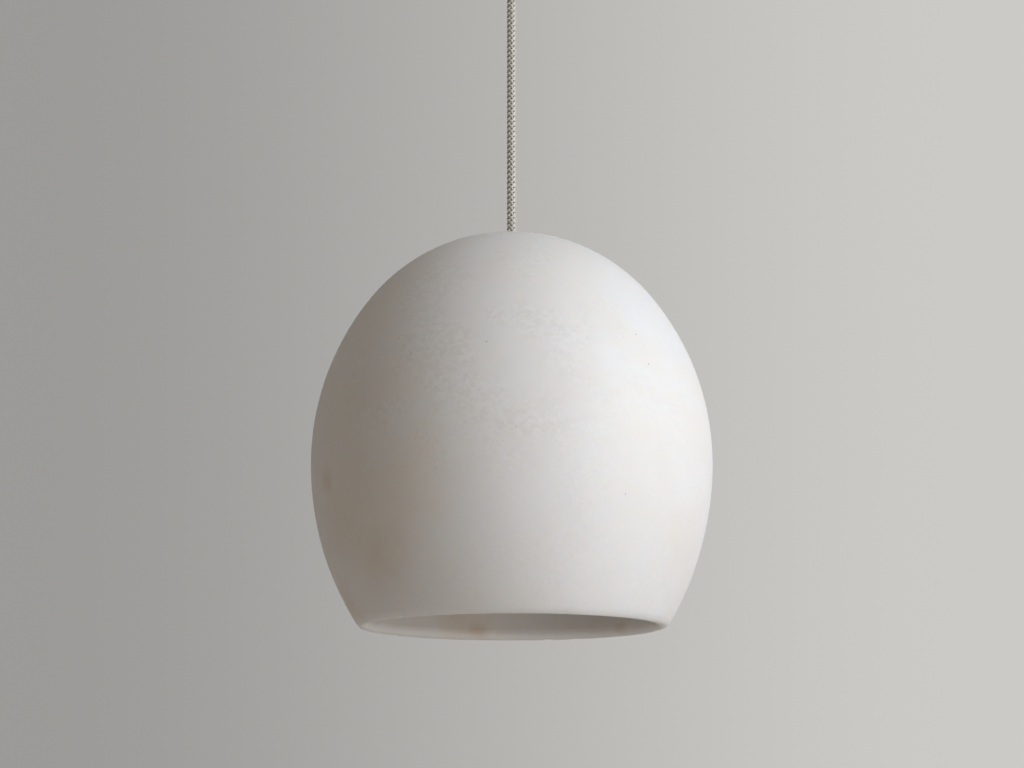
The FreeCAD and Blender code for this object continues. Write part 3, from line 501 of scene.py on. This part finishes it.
def stoneChips(height):
    # small chips along both edges of the rim: centre, radius and depth
    random.seed(stone["seed"])
    chips = []
    for index in range(stone["chips"]):
        angle = random.uniform(0, fullTurn)
        width = random.uniform(*stone["chipWidth"])
        outer = index % 2
        radius = stone["rim"] - stone["chipInset"][outer] - (0 if outer else stone["wall"])
        centre = Vector((radius * math.cos(angle), radius * math.sin(angle), -height + stone["chipLift"]))
        chips.append((centre, width, width * random.uniform(*stone["chipDepth"])))
    return chips


def buildShade(material):
    apex = Vector((0, 0, apexHeight))
    columns = stone["columns"]
    outlines = [stoneOutline(rimRoundAt(fullTurn * step / columns)) for step in range(columns)]
    rows = len(outlines[0])
    points = []
    for row in range(rows):
        for step in range(columns):
            angle = fullTurn * step / columns
            radius, depth = outlines[step][row]
            low = min(1, max(0, (depth - stone["shiftFrom"]) / (shadeHeight - stone["shiftFrom"])))
            aside = stone["rimShift"] * low * low * (3 - 2 * low)
            points.append((radius * math.cos(angle) + aside, radius * math.sin(angle), -depth))
    mesh = meshOf("shade_stone", (points, ringFaces(rows, columns, loop=True)))
    # the rows that follow the rim's lowest level belong to the inside, which the material paints paler as
    # light coming through the stone
    lowestRow = max(range(rows), key=lambda row: outlines[0][row][1])
    firstInside = lowestRow + stone["rimRows"]
    marks = [1.0 if row > firstInside else 0.0 for row in range(rows) for step in range(columns)]
    mesh.attributes.new("inside", "FLOAT", "POINT").data.foreach_set("value", marks)
    chips = stoneChips(shadeHeight)
    outward = [vertex.normal.copy() for vertex in mesh.vertices]
    for vertex, normal in zip(mesh.vertices, outward):
        spot = vertex.co.copy()
        if math.hypot(spot.x, spot.y) < stone["smoothTop"]:
            continue
        cut = 0
        for scale, depth in stone["waves"]:
            cut += depth * (0.5 + 0.5 * noise.noise(spot * scale))
        if spot.z < -shadeHeight + stone["chipReach"]:
            for centre, width, depth in chips:
                near = (spot - centre).length / width
                if near < 1:
                    cut += depth * (1 - near ** 2) ** 2
        vertex.co = spot - normal * cut
    mesh.transform(Matrix.Translation(apex))
    return addPiece("shade_stone", mesh, material, "pendant", stands=["shade"], sharp=60)


def buildAlabaster():
    material, tree = newMaterial(
        "alabaster", IOR=1.52, Subsurface_Weight=0.9, Subsurface_Radius=(1.0, 0.84, 0.70),
        Subsurface_Scale=0.014,
    )
    spot = place(tree)
    finish = stoneFinish
    base = effect(tree, mottle, Vector=spot, Scale=7.5, Low=0.40, High=0.68,
                  First=finish["pale"], Second=finish["warm"])["Color"]
    drift = addNode(tree, "Mapping", {"Vector": spot, "Location": (0.31, 0.12, 0.07)}).outputs[0]
    tints = effect(tree, mottle, Vector=drift, Scale=5.0, Low=0.42, High=0.60,
                   First=finish["olive"], Second=finish["mauve"])["Color"]
    patches = effect(tree, mottle, Vector=drift, Scale=11.0, Low=0.48, High=0.78)["Mask"]
    base = mixed(tree, maths(tree, "MULTIPLY", patches, 0.32), base, tints)

    # painted light: the rows marked inside are mixed towards a paler colour that stands for light passing
    # through the stone wall
    inside = addNode(tree, "Attribute", attribute_name="inside").outputs["Fac"]
    base = mixed(tree, maths(tree, "MULTIPLY", inside, 0.85), base, finish["paintedInnerLight"])

    # rust stains, each a soft ball of colour broken by noise
    broken = addNode(tree, "TexNoise", {"Vector": spot, "Scale": 38.0, "Detail": 5.0, "Roughness": 0.6})
    ragged = maths(tree, "SUBTRACT", 0.5, broken.outputs[0])
    for centre, radius, strength in stains:
        middle = Vector(centre) + Vector((0, 0, apexHeight))
        away = addNode(tree, "VectorMath", {0: spot, 1: tuple(middle)}, operation="DISTANCE").outputs["Value"]
        uneven = maths(tree, "ADD", away, maths(tree, "MULTIPLY", ragged, radius))
        mask = ranged(tree, uneven, radius * 0.1, radius, strength, 0.0, smooth=True)
        base = mixed(tree, mask, base, finish["rust"])

    # crystals: a faint cell pattern, with a few bright flecks that are paler crystals with painted glints
    # where they sparkle
    cells = addNode(tree, "TexVoronoi", {"Vector": spot, "Scale": 420.0})
    tone = addNode(tree, "SeparateColor", {0: cells.outputs["Color"]}).outputs
    frost = effect(tree, mottle, Vector=spot, Scale=26.0, Low=0.42, High=0.62)["Mask"]
    band = Vector(stone["frostPlace"]) + Vector((0, 0, apexHeight))
    reach = addNode(tree, "VectorMath", {0: spot, 1: tuple(band)}, operation="DISTANCE").outputs["Value"]
    dense = ranged(tree, reach, stone["frostCore"], stone["frostReach"], 1.9, 0.45, smooth=True)
    frost = maths(tree, "MULTIPLY", frost, dense)
    lift = ranged(tree, tone[0], 0.0, 1.0, 0.95, 1.03)
    share = maths(tree, "MULTIPLY", frost, 0.8, clamp=True)
    lift = addNode(tree, "Mix", {0: share, 2: 1.0, 3: lift}).outputs[0]
    lift = addNode(tree, "CombineColor", {0: lift, 1: lift, 2: lift}).outputs[0]
    base = mixed(tree, 1.0, base, lift, "MULTIPLY")
    # partly painted highlight: a few cells get a near-white colour for crystal glints, and are also made
    # glossier
    rare = maths(tree, "GREATER_THAN", tone[1], 0.972)
    core = ranged(tree, cells.outputs["Distance"], 0.25, 0.5, 1.0, 0.0, smooth=True)
    glintFleck = maths(tree, "MULTIPLY", maths(tree, "MULTIPLY", rare, core), frost)
    base = mixed(tree, maths(tree, "MULTIPLY", glintFleck, 0.8), base, finish["crystalGlint"])

    # small pits
    holes = addNode(tree, "TexVoronoi", {"Vector": spot, "Scale": 120.0})
    number = addNode(tree, "SeparateColor", {0: holes.outputs["Color"]}).outputs[0]
    chosen = maths(tree, "GREATER_THAN", number, 0.965)
    pit = ranged(tree, holes.outputs["Distance"], 0.03, 0.10, 1.0, 0.0, smooth=True)
    pit = maths(tree, "MULTIPLY", pit, chosen)
    base = mixed(tree, maths(tree, "MULTIPLY", pit, 0.6), base, finish["pit"])

    fine = effect(tree, grain, Vector=spot, Scale=700.0, Coarse=0.45)
    rough = ranged(tree, fine["Value"], 0.3, 0.7, 0.50, 0.68)
    rough = maths(tree, "SUBTRACT", rough, maths(tree, "MULTIPLY", glintFleck, 0.3))
    height = maths(tree, "SUBTRACT", fine["Height"], maths(tree, "MULTIPLY", pit, 2.0))
    join(tree, Base_Color=base, Roughness=rough, Normal=raised(tree, height, 0.00025, 0.7))
    return material


buildShade(buildAlabaster())
print("stone shade is built")


pivotHeight = -0.04225   # where the cord bends

cord = {
    "radius": 0.0033,
    "fullness": 0.00016,     # the braid is this much fuller where nothing holds it
    "mouthRise": 0.0012,     # the braid goes this far into the collar above the bend
    "strandsEachWay": 4,
    "lead": 0.0148,          # height of one turn of a strand
    "strandWidth": 0.00190,
    "strandThick": 0.00110,
    "weave": 0.00070,        # how far a strand rises and dips
    "step": 0.00042,
    "twist": 57,             # degrees, which column faces the camera
    "jacket": 0.00215,
    "bendBall": 0.00236,     # radius of the core where the cord bends
    "held": 0.004,           # length at the collar where the braid stays tight
    "swell": 0.006,          # and the length over which it then gets fuller
    "settle": 0.004,         # it gets tight again over this length above the stone
    "sides": 12,             # round each strand
    "ribs": 0.16,            # how far the three ribs stand out, of its thickness
    "bow": 0.6,              # how much of the cord's curve each strand takes
}

cordFinish = {
    "white": (0.86, 0.83, 0.77, 1),
    # painted shade: the strands of the other hand are a darker copy of the cream yarn, to deepen the dark
    # gaps between the beads
    "shadeGrey": (0.60, 0.58, 0.54, 1),
    # painted shade: the core under the braid is near black so the gaps between strands read as shadow; the
    # real cord has a jacket there
    "jacket": (0.045, 0.045, 0.045, 1),
}

def routeOf(name, points):
    # the cord's line as a bare spline, and the points that Blender gives for it
    data = bpy.data.curves.new(name, "CURVE")
    data.dimensions = "3D"
    data.resolution_u = 24
    spline = data.splines.new("NURBS")
    spline.points.add(len(points) - 1)
    for control, point in zip(spline.points, points):
        control.co = (*point, 1)
    spline.order_u = 3
    spline.use_endpoint_u = True
    holder = bpy.data.objects.new(name, data)
    bpy.context.scene.collection.objects.link(holder)
    bpy.context.view_layer.update()
    line = bpy.data.meshes.new_from_object(holder.evaluated_get(bpy.context.evaluated_depsgraph_get()))
    path = [vertex.co.copy() for vertex in line.vertices]
    bpy.data.objects.remove(holder)
    return path


def spotOn(path, distance):
    # the point at a distance along a path, and the way it runs there
    for start, end in zip(path, path[1:]):
        span = (end - start).length
        if distance <= span:
            break
        distance -= span
    way = (end - start).normalized()
    return start + way * distance, way


def lengthOf(path):
    return sum((end - start).length for start, end in zip(path, path[1:]))


def strand(path, index, hand, radius, full):
    # one flat strand of the braid: a ribbon of three soft ribs that rides over and under
    ways = cord["strandsEachWay"]
    half, thick = cord["strandWidth"] / 2, cord["strandThick"] / 2
    section = []
    for step in range(cord["sides"]):
        angle = fullTurn * step / cord["sides"]
        rib = 1 + cord["ribs"] * math.cos(3 * math.pi * math.cos(angle))
        section.append((half * math.cos(angle), thick * math.sin(angle) * rib))
    length = lengthOf(path)
    count = int(length / cord["step"])
    points = []
    for sample in range(count + 1):
        distance = length * sample / count
        centre, way = spotOn(path, distance)
        swollen = max(0, distance - cord["held"]) / cord["swell"]
        loose = min(1, swollen, max(0, full - distance) / cord["settle"])
        middle = radius + cord["fullness"] * loose - thick - cord["weave"] / 2
        across = Vector((1, 0, 0)) - way * way.x
        across.normalize()
        beside = way.cross(across)
        turn = fullTurn * (index / ways + hand * distance / cord["lead"]) + math.radians(cord["twist"])
        outward = across * math.cos(turn) + beside * math.sin(turn)
        around = beside * math.cos(turn) - across * math.sin(turn)
        climb = way * cord["lead"] + around * (hand * fullTurn * middle)
        sideways = climb.normalized().cross(outward)
        rise = hand * math.cos(fullTurn * ways * distance / cord["lead"]) * cord["weave"] / 2
        for u, v in section:
            bow = -(u ** 2) / (2 * middle) * cord["bow"]
            points.append(tuple(centre + outward * (middle + rise + v + bow) + sideways * u))
    faces = ringFaces(count + 1, len(section), loop=False)
    faces.append(tuple(range(len(section))))
    faces.append(tuple(count * len(section) + step for step in range(len(section))))
    return points, faces


def braid(name, path, radius, body, stands, paints, full=0):
    ways = cord["strandsEachWay"]
    parts = [strand(path, index, hand, radius, full) for hand in (1, -1) for index in range(ways)]
    length, axis = lengthOf(path), 0.00001
    # a near-black core under the strands: the cord's inner jacket, coloured as painted shade for the gaps
    outline = [(cord["jacket"], 0), (axis, 0), (axis, -length), (cord["jacket"], -length)]
    shadeLining = moved(turned(outline, 24), Matrix.Translation(spotOn(path, 0)[0]))
    mesh = meshOf(name, *parts, shadeLining)
    for paint in paints:
        mesh.materials.append(paint)
    facesEach = len(parts[0][1])
    for index, polygon in enumerate(mesh.polygons):
        which = index // facesEach
        polygon.material_index = 0 if which < ways else 1 if which < 2 * ways else 2
    return addPiece(name, mesh, None, body, stands=stands, sharp=75)


def yarn(name, colour):
    material, tree = newMaterial(name, Roughness=0.85, Sheen_Weight=0.25, Sheen_Roughness=0.5)
    spot = place(tree)
    darker = tuple(value * 0.72 for value in colour[:3])
    worn = effect(tree, mottle, Vector=spot, Scale=900.0, Low=0.35, High=0.7, First=colour,
                  Second=(*darker, 1))["Color"]
    fibres = effect(tree, grain, Vector=spot, Scale=5200.0, Coarse=0.3)
    join(tree, Base_Color=worn, Normal=raised(tree, fibres["Height"], 0.00012, 0.8))
    return material


def buildCord():
    low = placed("cord")[0]
    start = (0, 0, pivotHeight + cord["mouthRise"])
    route = [start, (0, 0, -0.090), (0, 0, -0.150), (0, 0, -0.215), (0, 0, low.z)]
    path = routeOf("route", route)
    paints = [yarn("yarn_white", cordFinish["white"]), yarn("yarn_grey_painted_shade", cordFinish["shadeGrey"]),
              yarn("cord_jacket", cordFinish["jacket"])]
    free = start[2] - apexHeight
    main = braid("cord_braid", path, cord["radius"], "pendant", ["cord"], paints, full=free)

    # the short length held in the collar, and the bend between the two
    tailLow, tailHigh = placed("cord_tail")[:2]
    tailHeights = (tailHigh.z, (tailLow.z + tailHigh.z) / 2, tailLow.z)
    tailPath = routeOf("tail_route", [(0, 0, z) for z in tailHeights])
    tail = braid("cord_tail_braid", tailPath, cord["radius"], "ceiling_fitting", ["cord_tail"], paints)
    ball = arc((0, 0), cord["bendBall"], -84, 84, 14)
    bend = meshOf("cord_bend_core", moved(turned(ball, 32), Matrix.Translation((0, 0, pivotHeight))))
    # the bend's core wears the same near-black painted shade
    bend = addPiece("cord_bend_core", bend, paints[2], "cord_bend", stands=["cord_neck"])


buildCord()
print("cord is braided")


def buildTurnedMarks():
    # fine rings left by a lathe, about the pendant's own axis
    group, enter, leave = newGroup("turnedMarks", {"Vector": None, "Scale": 3500.0}, {"Height": "Float"})
    part = addNode(group, "SeparateXYZ", {0: enter["Vector"]}).outputs
    flat = addNode(group, "CombineXYZ", {0: part[0], 1: part[1]}).outputs[0]
    radius = addNode(group, "VectorMath", {0: flat}, operation="LENGTH").outputs["Value"]
    ring = addNode(group, "CombineXYZ", {0: radius, 1: part[2]}).outputs[0]
    marks = addNode(group, "TexNoise", {"Vector": ring, "Scale": enter["Scale"], "Detail": 2.0})
    group.links.new(marks.outputs[0], leave["Height"])
    return group


def buildWear():
    # where an outside edge has rubbed, broken by noise
    group, enter, leave = newGroup("wear", {"Vector": None, "Scale": 400.0, "Amount": 0.5}, {"Mask": "Float"})
    edge = ranged(group, addNode(group, "NewGeometry").outputs["Pointiness"], 0.52, 0.60)
    broken = addNode(group, "TexNoise", {"Vector": enter["Vector"], "Scale": enter["Scale"], "Detail": 4.0})
    patchy = ranged(group, broken.outputs[0], 0.40, 0.62)
    mask = maths(group, "MULTIPLY", maths(group, "MULTIPLY", edge, patchy), enter["Amount"])
    group.links.new(mask, leave["Mask"])
    return group


turnedMarks = buildTurnedMarks()
wear = buildWear()

finishes = {
    "powderCoat": {"pale": (0.80, 0.79, 0.77, 1), "deep": (0.755, 0.745, 0.72, 1),
                   "bare": (0.55, 0.54, 0.52, 1)},
    "agedBrass": {"pale": (0.64, 0.50, 0.29, 1), "deep": (0.45, 0.33, 0.18, 1),
                  "bare": (0.80, 0.66, 0.40, 1)},
    "brightBrass": {"pale": (0.80, 0.63, 0.34, 1), "deep": (0.66, 0.49, 0.25, 1),
                    "bare": (0.88, 0.74, 0.47, 1)},
    "zincPlate": {"pale": (0.63, 0.635, 0.64, 1), "deep": (0.49, 0.49, 0.48, 1),
                  "bare": (0.76, 0.76, 0.75, 1)},
    "nickel": {"pale": (0.73, 0.71, 0.68, 1), "deep": (0.60, 0.58, 0.55, 1), "bare": (0.84, 0.83, 0.80, 1)},
    "nylon": {"pale": (0.85, 0.84, 0.80, 1), "deep": (0.78, 0.765, 0.72, 1)},
    "glaze": {"pale": (0.875, 0.87, 0.845, 1), "deep": (0.82, 0.81, 0.77, 1), "speck": (0.30, 0.25, 0.20, 1)},
    "rubber": {"pale": (0.060, 0.060, 0.062, 1), "deep": (0.095, 0.093, 0.090, 1)},
    "opal": {"pale": (0.93, 0.925, 0.90, 1), "deep": (0.90, 0.89, 0.86, 1)},
    "vitrite": {"pale": (0.020, 0.020, 0.024, 1), "deep": (0.045, 0.042, 0.045, 1)},
    "solder": {"pale": (0.62, 0.61, 0.58, 1), "deep": (0.42, 0.41, 0.39, 1), "bare": (0.75, 0.74, 0.72, 1)},
    "moduleWhite": {"pale": (0.89, 0.88, 0.85, 1), "deep": (0.84, 0.83, 0.79, 1)},
    "brownCore": {"pale": (0.22, 0.105, 0.055, 1), "deep": (0.17, 0.080, 0.042, 1)},
    "blueCore": {"pale": (0.055, 0.17, 0.44, 1), "deep": (0.042, 0.135, 0.36, 1)},
    "earthCore": {"pale": (0.085, 0.33, 0.075, 1), "deep": (0.83, 0.72, 0.06, 1)},
}


def dress(material, *names):
    for name in names:
        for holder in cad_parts[name].material_slots:
            holder.material = material


def metal(name, finish, low, high, marks=0.00003, **plain):
    # plated or turned metal: tarnish that drifts, rubbed edges and lathe marks
    material, tree = newMaterial(name, Metallic=1.0, **plain)
    spot = place(tree)
    tarnish = effect(tree, mottle, Vector=spot, Scale=170.0, Low=0.35, High=0.70,
                     First=finish["pale"], Second=finish["deep"])
    rubbed = effect(tree, wear, Vector=spot, Scale=700.0, Amount=0.8)["Mask"]
    colour = mixed(tree, rubbed, tarnish["Color"], finish["bare"])
    rough = ranged(tree, tarnish["Mask"], 0.0, 1.0, low, high)
    lathe = effect(tree, turnedMarks, Vector=spot)["Height"]
    fine = effect(tree, grain, Vector=spot, Scale=3000.0)["Height"]
    height = addNode(tree, "Mix", {0: 0.4, 2: lathe, 3: fine}).outputs[0]
    join(tree, Base_Color=colour, Roughness=rough, Normal=raised(tree, height, marks))
    return material


def buildPowderCoat():
    finish = finishes["powderCoat"]
    material, tree = newMaterial("powder_coat", Coat_Weight=0.15, Coat_Roughness=0.35)
    spot = place(tree)
    tone = effect(tree, mottle, Vector=spot, Scale=30.0, First=finish["pale"], Second=finish["deep"])["Color"]
    settled = effect(tree, dust, Vector=spot, Scale=90.0, Amount=0.25)["Mask"]
    tone = mixed(tree, settled, tone, finish["deep"])
    rubbed = effect(tree, wear, Vector=spot, Scale=500.0, Amount=0.35)["Mask"]
    tone = mixed(tree, rubbed, tone, finish["bare"])
    orangePeel = effect(tree, grain, Vector=spot, Scale=1500.0, Coarse=0.5)
    rough = ranged(tree, orangePeel["Value"], 0.3, 0.7, 0.40, 0.52)
    join(tree, Base_Color=tone, Roughness=rough, Normal=raised(tree, orangePeel["Height"], 0.00005))
    return material


def moulded(name, finish, low, high, scale=60.0, **plain):
    material, tree = newMaterial(name, **plain)
    spot = place(tree)
    tone = effect(tree, mottle, Vector=spot, Scale=scale,
                  First=finish["pale"], Second=finish["deep"])["Color"]
    fine = effect(tree, grain, Vector=spot, Scale=2600.0, Coarse=0.3)
    rough = ranged(tree, fine["Value"], 0.3, 0.7, low, high)
    join(tree, Base_Color=tone, Roughness=rough, Normal=raised(tree, fine["Height"], 0.00003))
    return material


def buildGlaze():
    finish = finishes["glaze"]
    material, tree = newMaterial("porcelain_glaze", Coat_Weight=0.8, Coat_Roughness=0.06)
    spot = place(tree)
    tone = effect(tree, mottle, Vector=spot, Scale=70.0, First=finish["pale"], Second=finish["deep"])["Color"]
    cells = addNode(tree, "TexVoronoi", {"Vector": spot, "Scale": 380.0})
    chosen = addNode(tree, "SeparateColor", {0: cells.outputs["Color"]}).outputs[0]
    speck = maths(tree, "MULTIPLY", maths(tree, "GREATER_THAN", chosen, 0.97),
                  ranged(tree, cells.outputs["Distance"], 0.05, 0.16, 1.0, 0.0))
    tone = mixed(tree, maths(tree, "MULTIPLY", speck, 0.6), tone, finish["speck"])
    ripple = effect(tree, grain, Vector=spot, Scale=260.0, Coarse=0.6)
    rough = ranged(tree, ripple["Value"], 0.3, 0.7, 0.18, 0.28)
    join(tree, Base_Color=tone, Roughness=rough, Normal=raised(tree, ripple["Height"], 0.00012))
    return material


def buildOpal():
    finish = finishes["opal"]
    material, tree = newMaterial(
        "opal_glass", IOR=1.5, Subsurface_Weight=0.5, Subsurface_Radius=(1.0, 0.95, 0.85),
        Subsurface_Scale=0.004, Coat_Weight=0.35, Coat_Roughness=0.22,
    )
    spot = place(tree)
    tone = effect(tree, mottle, Vector=spot, Scale=25.0, First=finish["pale"], Second=finish["deep"])["Color"]
    fine = effect(tree, grain, Vector=spot, Scale=1800.0, Coarse=0.3)
    settled = effect(tree, dust, Vector=spot, Scale=70.0, Amount=0.12)["Mask"]
    tone = mixed(tree, settled, tone, finishes["nylon"]["deep"])
    rough = ranged(tree, fine["Value"], 0.3, 0.7, 0.30, 0.38)
    join(tree, Base_Color=tone, Roughness=rough, Normal=raised(tree, fine["Height"], 0.00002))
    return material


def buildEarthCore():
    # green insulation with yellow stripes that run round it
    finish = finishes["earthCore"]
    material, tree = newMaterial("earth_core")
    spot = place(tree)
    part = addNode(tree, "SeparateXYZ", {0: spot}).outputs
    slant = maths(tree, "ADD", part[0], maths(tree, "ADD", part[1], part[2]))
    wave = maths(tree, "SINE", maths(tree, "MULTIPLY", slant, 1500.0))
    stripe = ranged(tree, wave, -0.1, 0.1, smooth=True)
    tone = mixed(tree, stripe, finish["pale"], finish["deep"])
    fine = effect(tree, grain, Vector=spot, Scale=2600.0, Coarse=0.3)
    rough = ranged(tree, fine["Value"], 0.3, 0.7, 0.32, 0.44)
    join(tree, Base_Color=tone, Roughness=rough, Normal=raised(tree, fine["Height"], 0.00002))
    return material


def dressFittings():
    agedBrass = metal("aged_brass", finishes["agedBrass"], 0.26, 0.44)
    brightBrass = metal("bright_brass", finishes["brightBrass"], 0.18, 0.34)
    zincPlate = metal("zinc_plate", finishes["zincPlate"], 0.30, 0.46)
    nickel = metal("nickel_plate", finishes["nickel"], 0.16, 0.32)
    solder = metal("tinned_solder", finishes["solder"], 0.30, 0.50)
    powderCoat = buildPowderCoat()
    dress(powderCoat, "canopy", "side_screws", "holder_cap", "holder_skirt")
    dress(agedBrass, "cord_collar", "collar_nut", "grip_screw", "disc_nut", "cord_clamp")
    dress(zincPlate, "mounting_bracket", "support_disc", "earth_screw", "block_screw", "clamp_screws",
          "earth_lug")
    dress(brightBrass, "terminal_inserts", "terminal_screws", "centre_contact", "contact_rivets",
          "holder_terminals", "holder_screws", "earth_strap")
    dress(moulded("nylon", finishes["nylon"], 0.42, 0.55, Subsurface_Weight=0.15, Subsurface_Scale=0.002),
          "terminal_block", "centering_bush")
    dress(moulded("seat_rubber", finishes["rubber"], 0.62, 0.80), "seat_washer")
    dress(buildGlaze(), "holder_insert")
    dress(buildOpal(), "bulb_glass")
    dress(moulded("black_vitrite", finishes["vitrite"], 0.10, 0.20, scale=300.0, Coat_Weight=0.6),
          "bulb_insulator")
    dress(solder, "bulb_contact")
    dress(moulded("module_white", finishes["moduleWhite"], 0.40, 0.55), "led_module")
    dress(moulded("brown_core", finishes["brownCore"], 0.30, 0.42), "line_wire", "lower_line_wire")
    dress(moulded("blue_core", finishes["blueCore"], 0.30, 0.42), "neutral_wire", "lower_neutral_wire")
    dress(buildEarthCore(), "earth_wire", "lower_earth_wire")
    return agedBrass, brightBrass, zincPlate, nickel


agedBrass, brightBrass, zincPlate, nickel = dressFittings()
print("fittings are dressed")


def threadAt(crest, depth, pitch, low, high, fade):
    # a rounded thread's radius at a height and an angle; it runs out at both ends
    def radius(z, angle):
        ends = min(1, max(0, (z - low) / fade), max(0, (high - z) / fade))
        wave = 0.5 - 0.5 * math.cos(fullTurn * (z / pitch) - angle)
        return crest - depth * wave * ends
    return radius


def threadedTube(radiusAt, low, high, wall, pitch, segments, bore=None):
    # a tube whose outside follows the thread; its inside follows too, or is a plain bore
    rows = max(8, round((high - low) / pitch * 12))
    heights = steps(low, high, rows)
    points = []
    for z in heights:
        for step in range(segments):
            angle = fullTurn * step / segments
            r = radiusAt(z, angle)
            points.append((r * math.cos(angle), r * math.sin(angle), z))
    for z in reversed(heights):
        for step in range(segments):
            angle = fullTurn * step / segments
            r = bore if bore else radiusAt(z, angle) - wall
            points.append((r * math.cos(angle), r * math.sin(angle), z))
    return points, ringFaces(2 * len(heights), segments, loop=True)


screwPitch = 0.003629   # the bulb's base and the holder's shell share it

bulbBase = {
    "wall": 0.00032,
    "depth": 0.0007,        # of the thread
    "fade": 0.0018,         # the thread runs out over this height
    "overlap": 0.0005,      # the thread starts this far inside the glass neck's end
    "shoulder": 0.0012,     # height of the plain collar
    "segments": 96,
    # the collar's section, as inset from the thread's crest and rise above the shoulder
    "collar": ((0, 0), (0.00035, 0.00085), (0.0012, 0.0012), (0.003, 0.0012), (0.003, 0.00088),
               (0.0013, 0.00088), (0.00062, 0.0005), (0.00032, 0)),
    "beadRadius": 0.0004,
    "beadInset": 0.0002,
    "beadRise": 0.0006,
}


def buildBulbBase():
    # the bulb's nickel screw base, with a plain collar where it holds the glass
    low, high = placed("bulb_base")[:2]
    crest, segments = high.x, bulbBase["segments"]
    neck = placed("bulb_glass")[1].z - bulbBase["overlap"]
    shoulder = high.z - bulbBase["shoulder"]
    thread = threadAt(crest, bulbBase["depth"], screwPitch, neck, shoulder, bulbBase["fade"])
    tube = threadedTube(thread, low.z, shoulder, bulbBase["wall"], screwPitch, segments)
    collar = [(crest - inset, shoulder + rise) for inset, rise in bulbBase["collar"]]
    beadCentre = (crest - bulbBase["beadInset"], low.z + bulbBase["beadRise"])
    bead = arc(beadCentre, bulbBase["beadRadius"], 0, 360, 10)[:-1]
    mesh = meshOf("bulb_base_thread", tube, turned(collar, segments), turned(bead, segments))
    return addPiece("bulb_base_thread", mesh, nickel, "bulb", stands=["bulb_base"], sharp=50)


screwShell = {
    "wall": 0.00025,
    "depth": 0.0006,
    "fade": 0.0016,
    "shoulder": 0.001,
    "flange": 0.0096,       # radius of the opening in the flange on top
    "segments": 96,
    "outside": ((0, 0), (0.0003, 0.0007), (0.001, 0.001)),   # inset and rise, as for the bulb's base
    "inside": ((0.0011, 0.00075), (0.00025, 0)),
}


def buildScrewShell():
    # the brass screw shell of the lampholder, rolled to the same thread with a running gap
    low, high = placed("screw_shell")[:2]
    wall, flange, segments = screwShell["wall"], screwShell["flange"], screwShell["segments"]
    shoulder = high.z - screwShell["shoulder"]
    thread = threadAt(high.x, screwShell["depth"], screwPitch, low.z, shoulder, screwShell["fade"])
    tube = threadedTube(thread, low.z, shoulder, wall, screwPitch, segments)
    outside = [(high.x - inset, shoulder + rise) for inset, rise in screwShell["outside"]]
    inside = [(high.x - inset, shoulder + rise) for inset, rise in screwShell["inside"]]
    top = outside + [(flange, high.z), (flange, high.z - wall)] + inside
    mesh = meshOf("screw_shell_thread", tube, turned(top, segments))
    return addPiece("screw_shell_thread", mesh, brightBrass, "pendant",
                    stands=["screw_shell"], sharp=50)


nipple = {"depth": 0.00045, "pitch": 0.001, "fade": 0.0008, "bore": 0.0036, "segments": 48}


def buildNipple():
    # the hollow threaded tube that carries the stone
    low, high = placed("shade_nipple")[:2]
    thread = threadAt(high.x, nipple["depth"], nipple["pitch"], low.z, high.z, nipple["fade"])
    tube = threadedTube(thread, low.z, high.z, 0, nipple["pitch"], nipple["segments"], bore=nipple["bore"])
    mesh = meshOf("nipple_thread", tube)
    return addPiece("nipple_thread", mesh, agedBrass, "pendant",
                    stands=["shade_nipple"], sharp=50)


lockWasher = {
    "hole": 0.0053,
    "teeth": 16,
    "perTooth": 8,          # points for each tooth
    "toothLength": 0.0021,
    "gapLength": 0.12,      # of the tooth's length, between two teeth
    "toothFrom": 0.15,      # of the way from one tooth to the next
    "toothTo": 0.65,
    "ring": 0.62,           # the flat ring's share of the height
    "tip": 0.5,             # and the tips' share
    "twist": 0.9,
}


def buildLockWasher():
    # a washer with teeth that are twisted out of its plane
    low, high, middle = placed("lock_washer")
    outer, inner = high.x, lockWasher["hole"]
    half = (high.z - low.z) / 2
    root = outer - lockWasher["toothLength"]
    perTooth = lockWasher["perTooth"]
    count = lockWasher["teeth"] * perTooth
    points = []
    for radius, side, toothed in ((inner, 1, False), (root, 1, False), (outer, 1, True), (outer, -1, True),
                                  (root, -1, False), (inner, -1, False)):
        for step in range(count):
            angle = fullTurn * step / count
            phase = step % perTooth / perTooth
            r, z = radius, middle.z + side * half * lockWasher["ring"]
            if toothed:
                tooth = lockWasher["toothFrom"] < phase < lockWasher["toothTo"]
                r = root + (outer - root) * (1 if tooth else lockWasher["gapLength"])
                z = middle.z + side * half * lockWasher["tip"] + (phase - 0.4) * half * lockWasher["twist"]
            z = min(high.z, max(low.z, z))
            points.append((r * math.cos(angle), r * math.sin(angle), z))
    mesh = meshOf("lock_washer_teeth", (points, ringFaces(6, count, loop=True)))
    return addPiece("lock_washer_teeth", mesh, zincPlate, "ceiling_fitting",
                    stands=["lock_washer"], sharp=35)


buildBulbBase()
buildScrewShell()
buildNipple()
buildLockWasher()
print("threaded pieces are built")
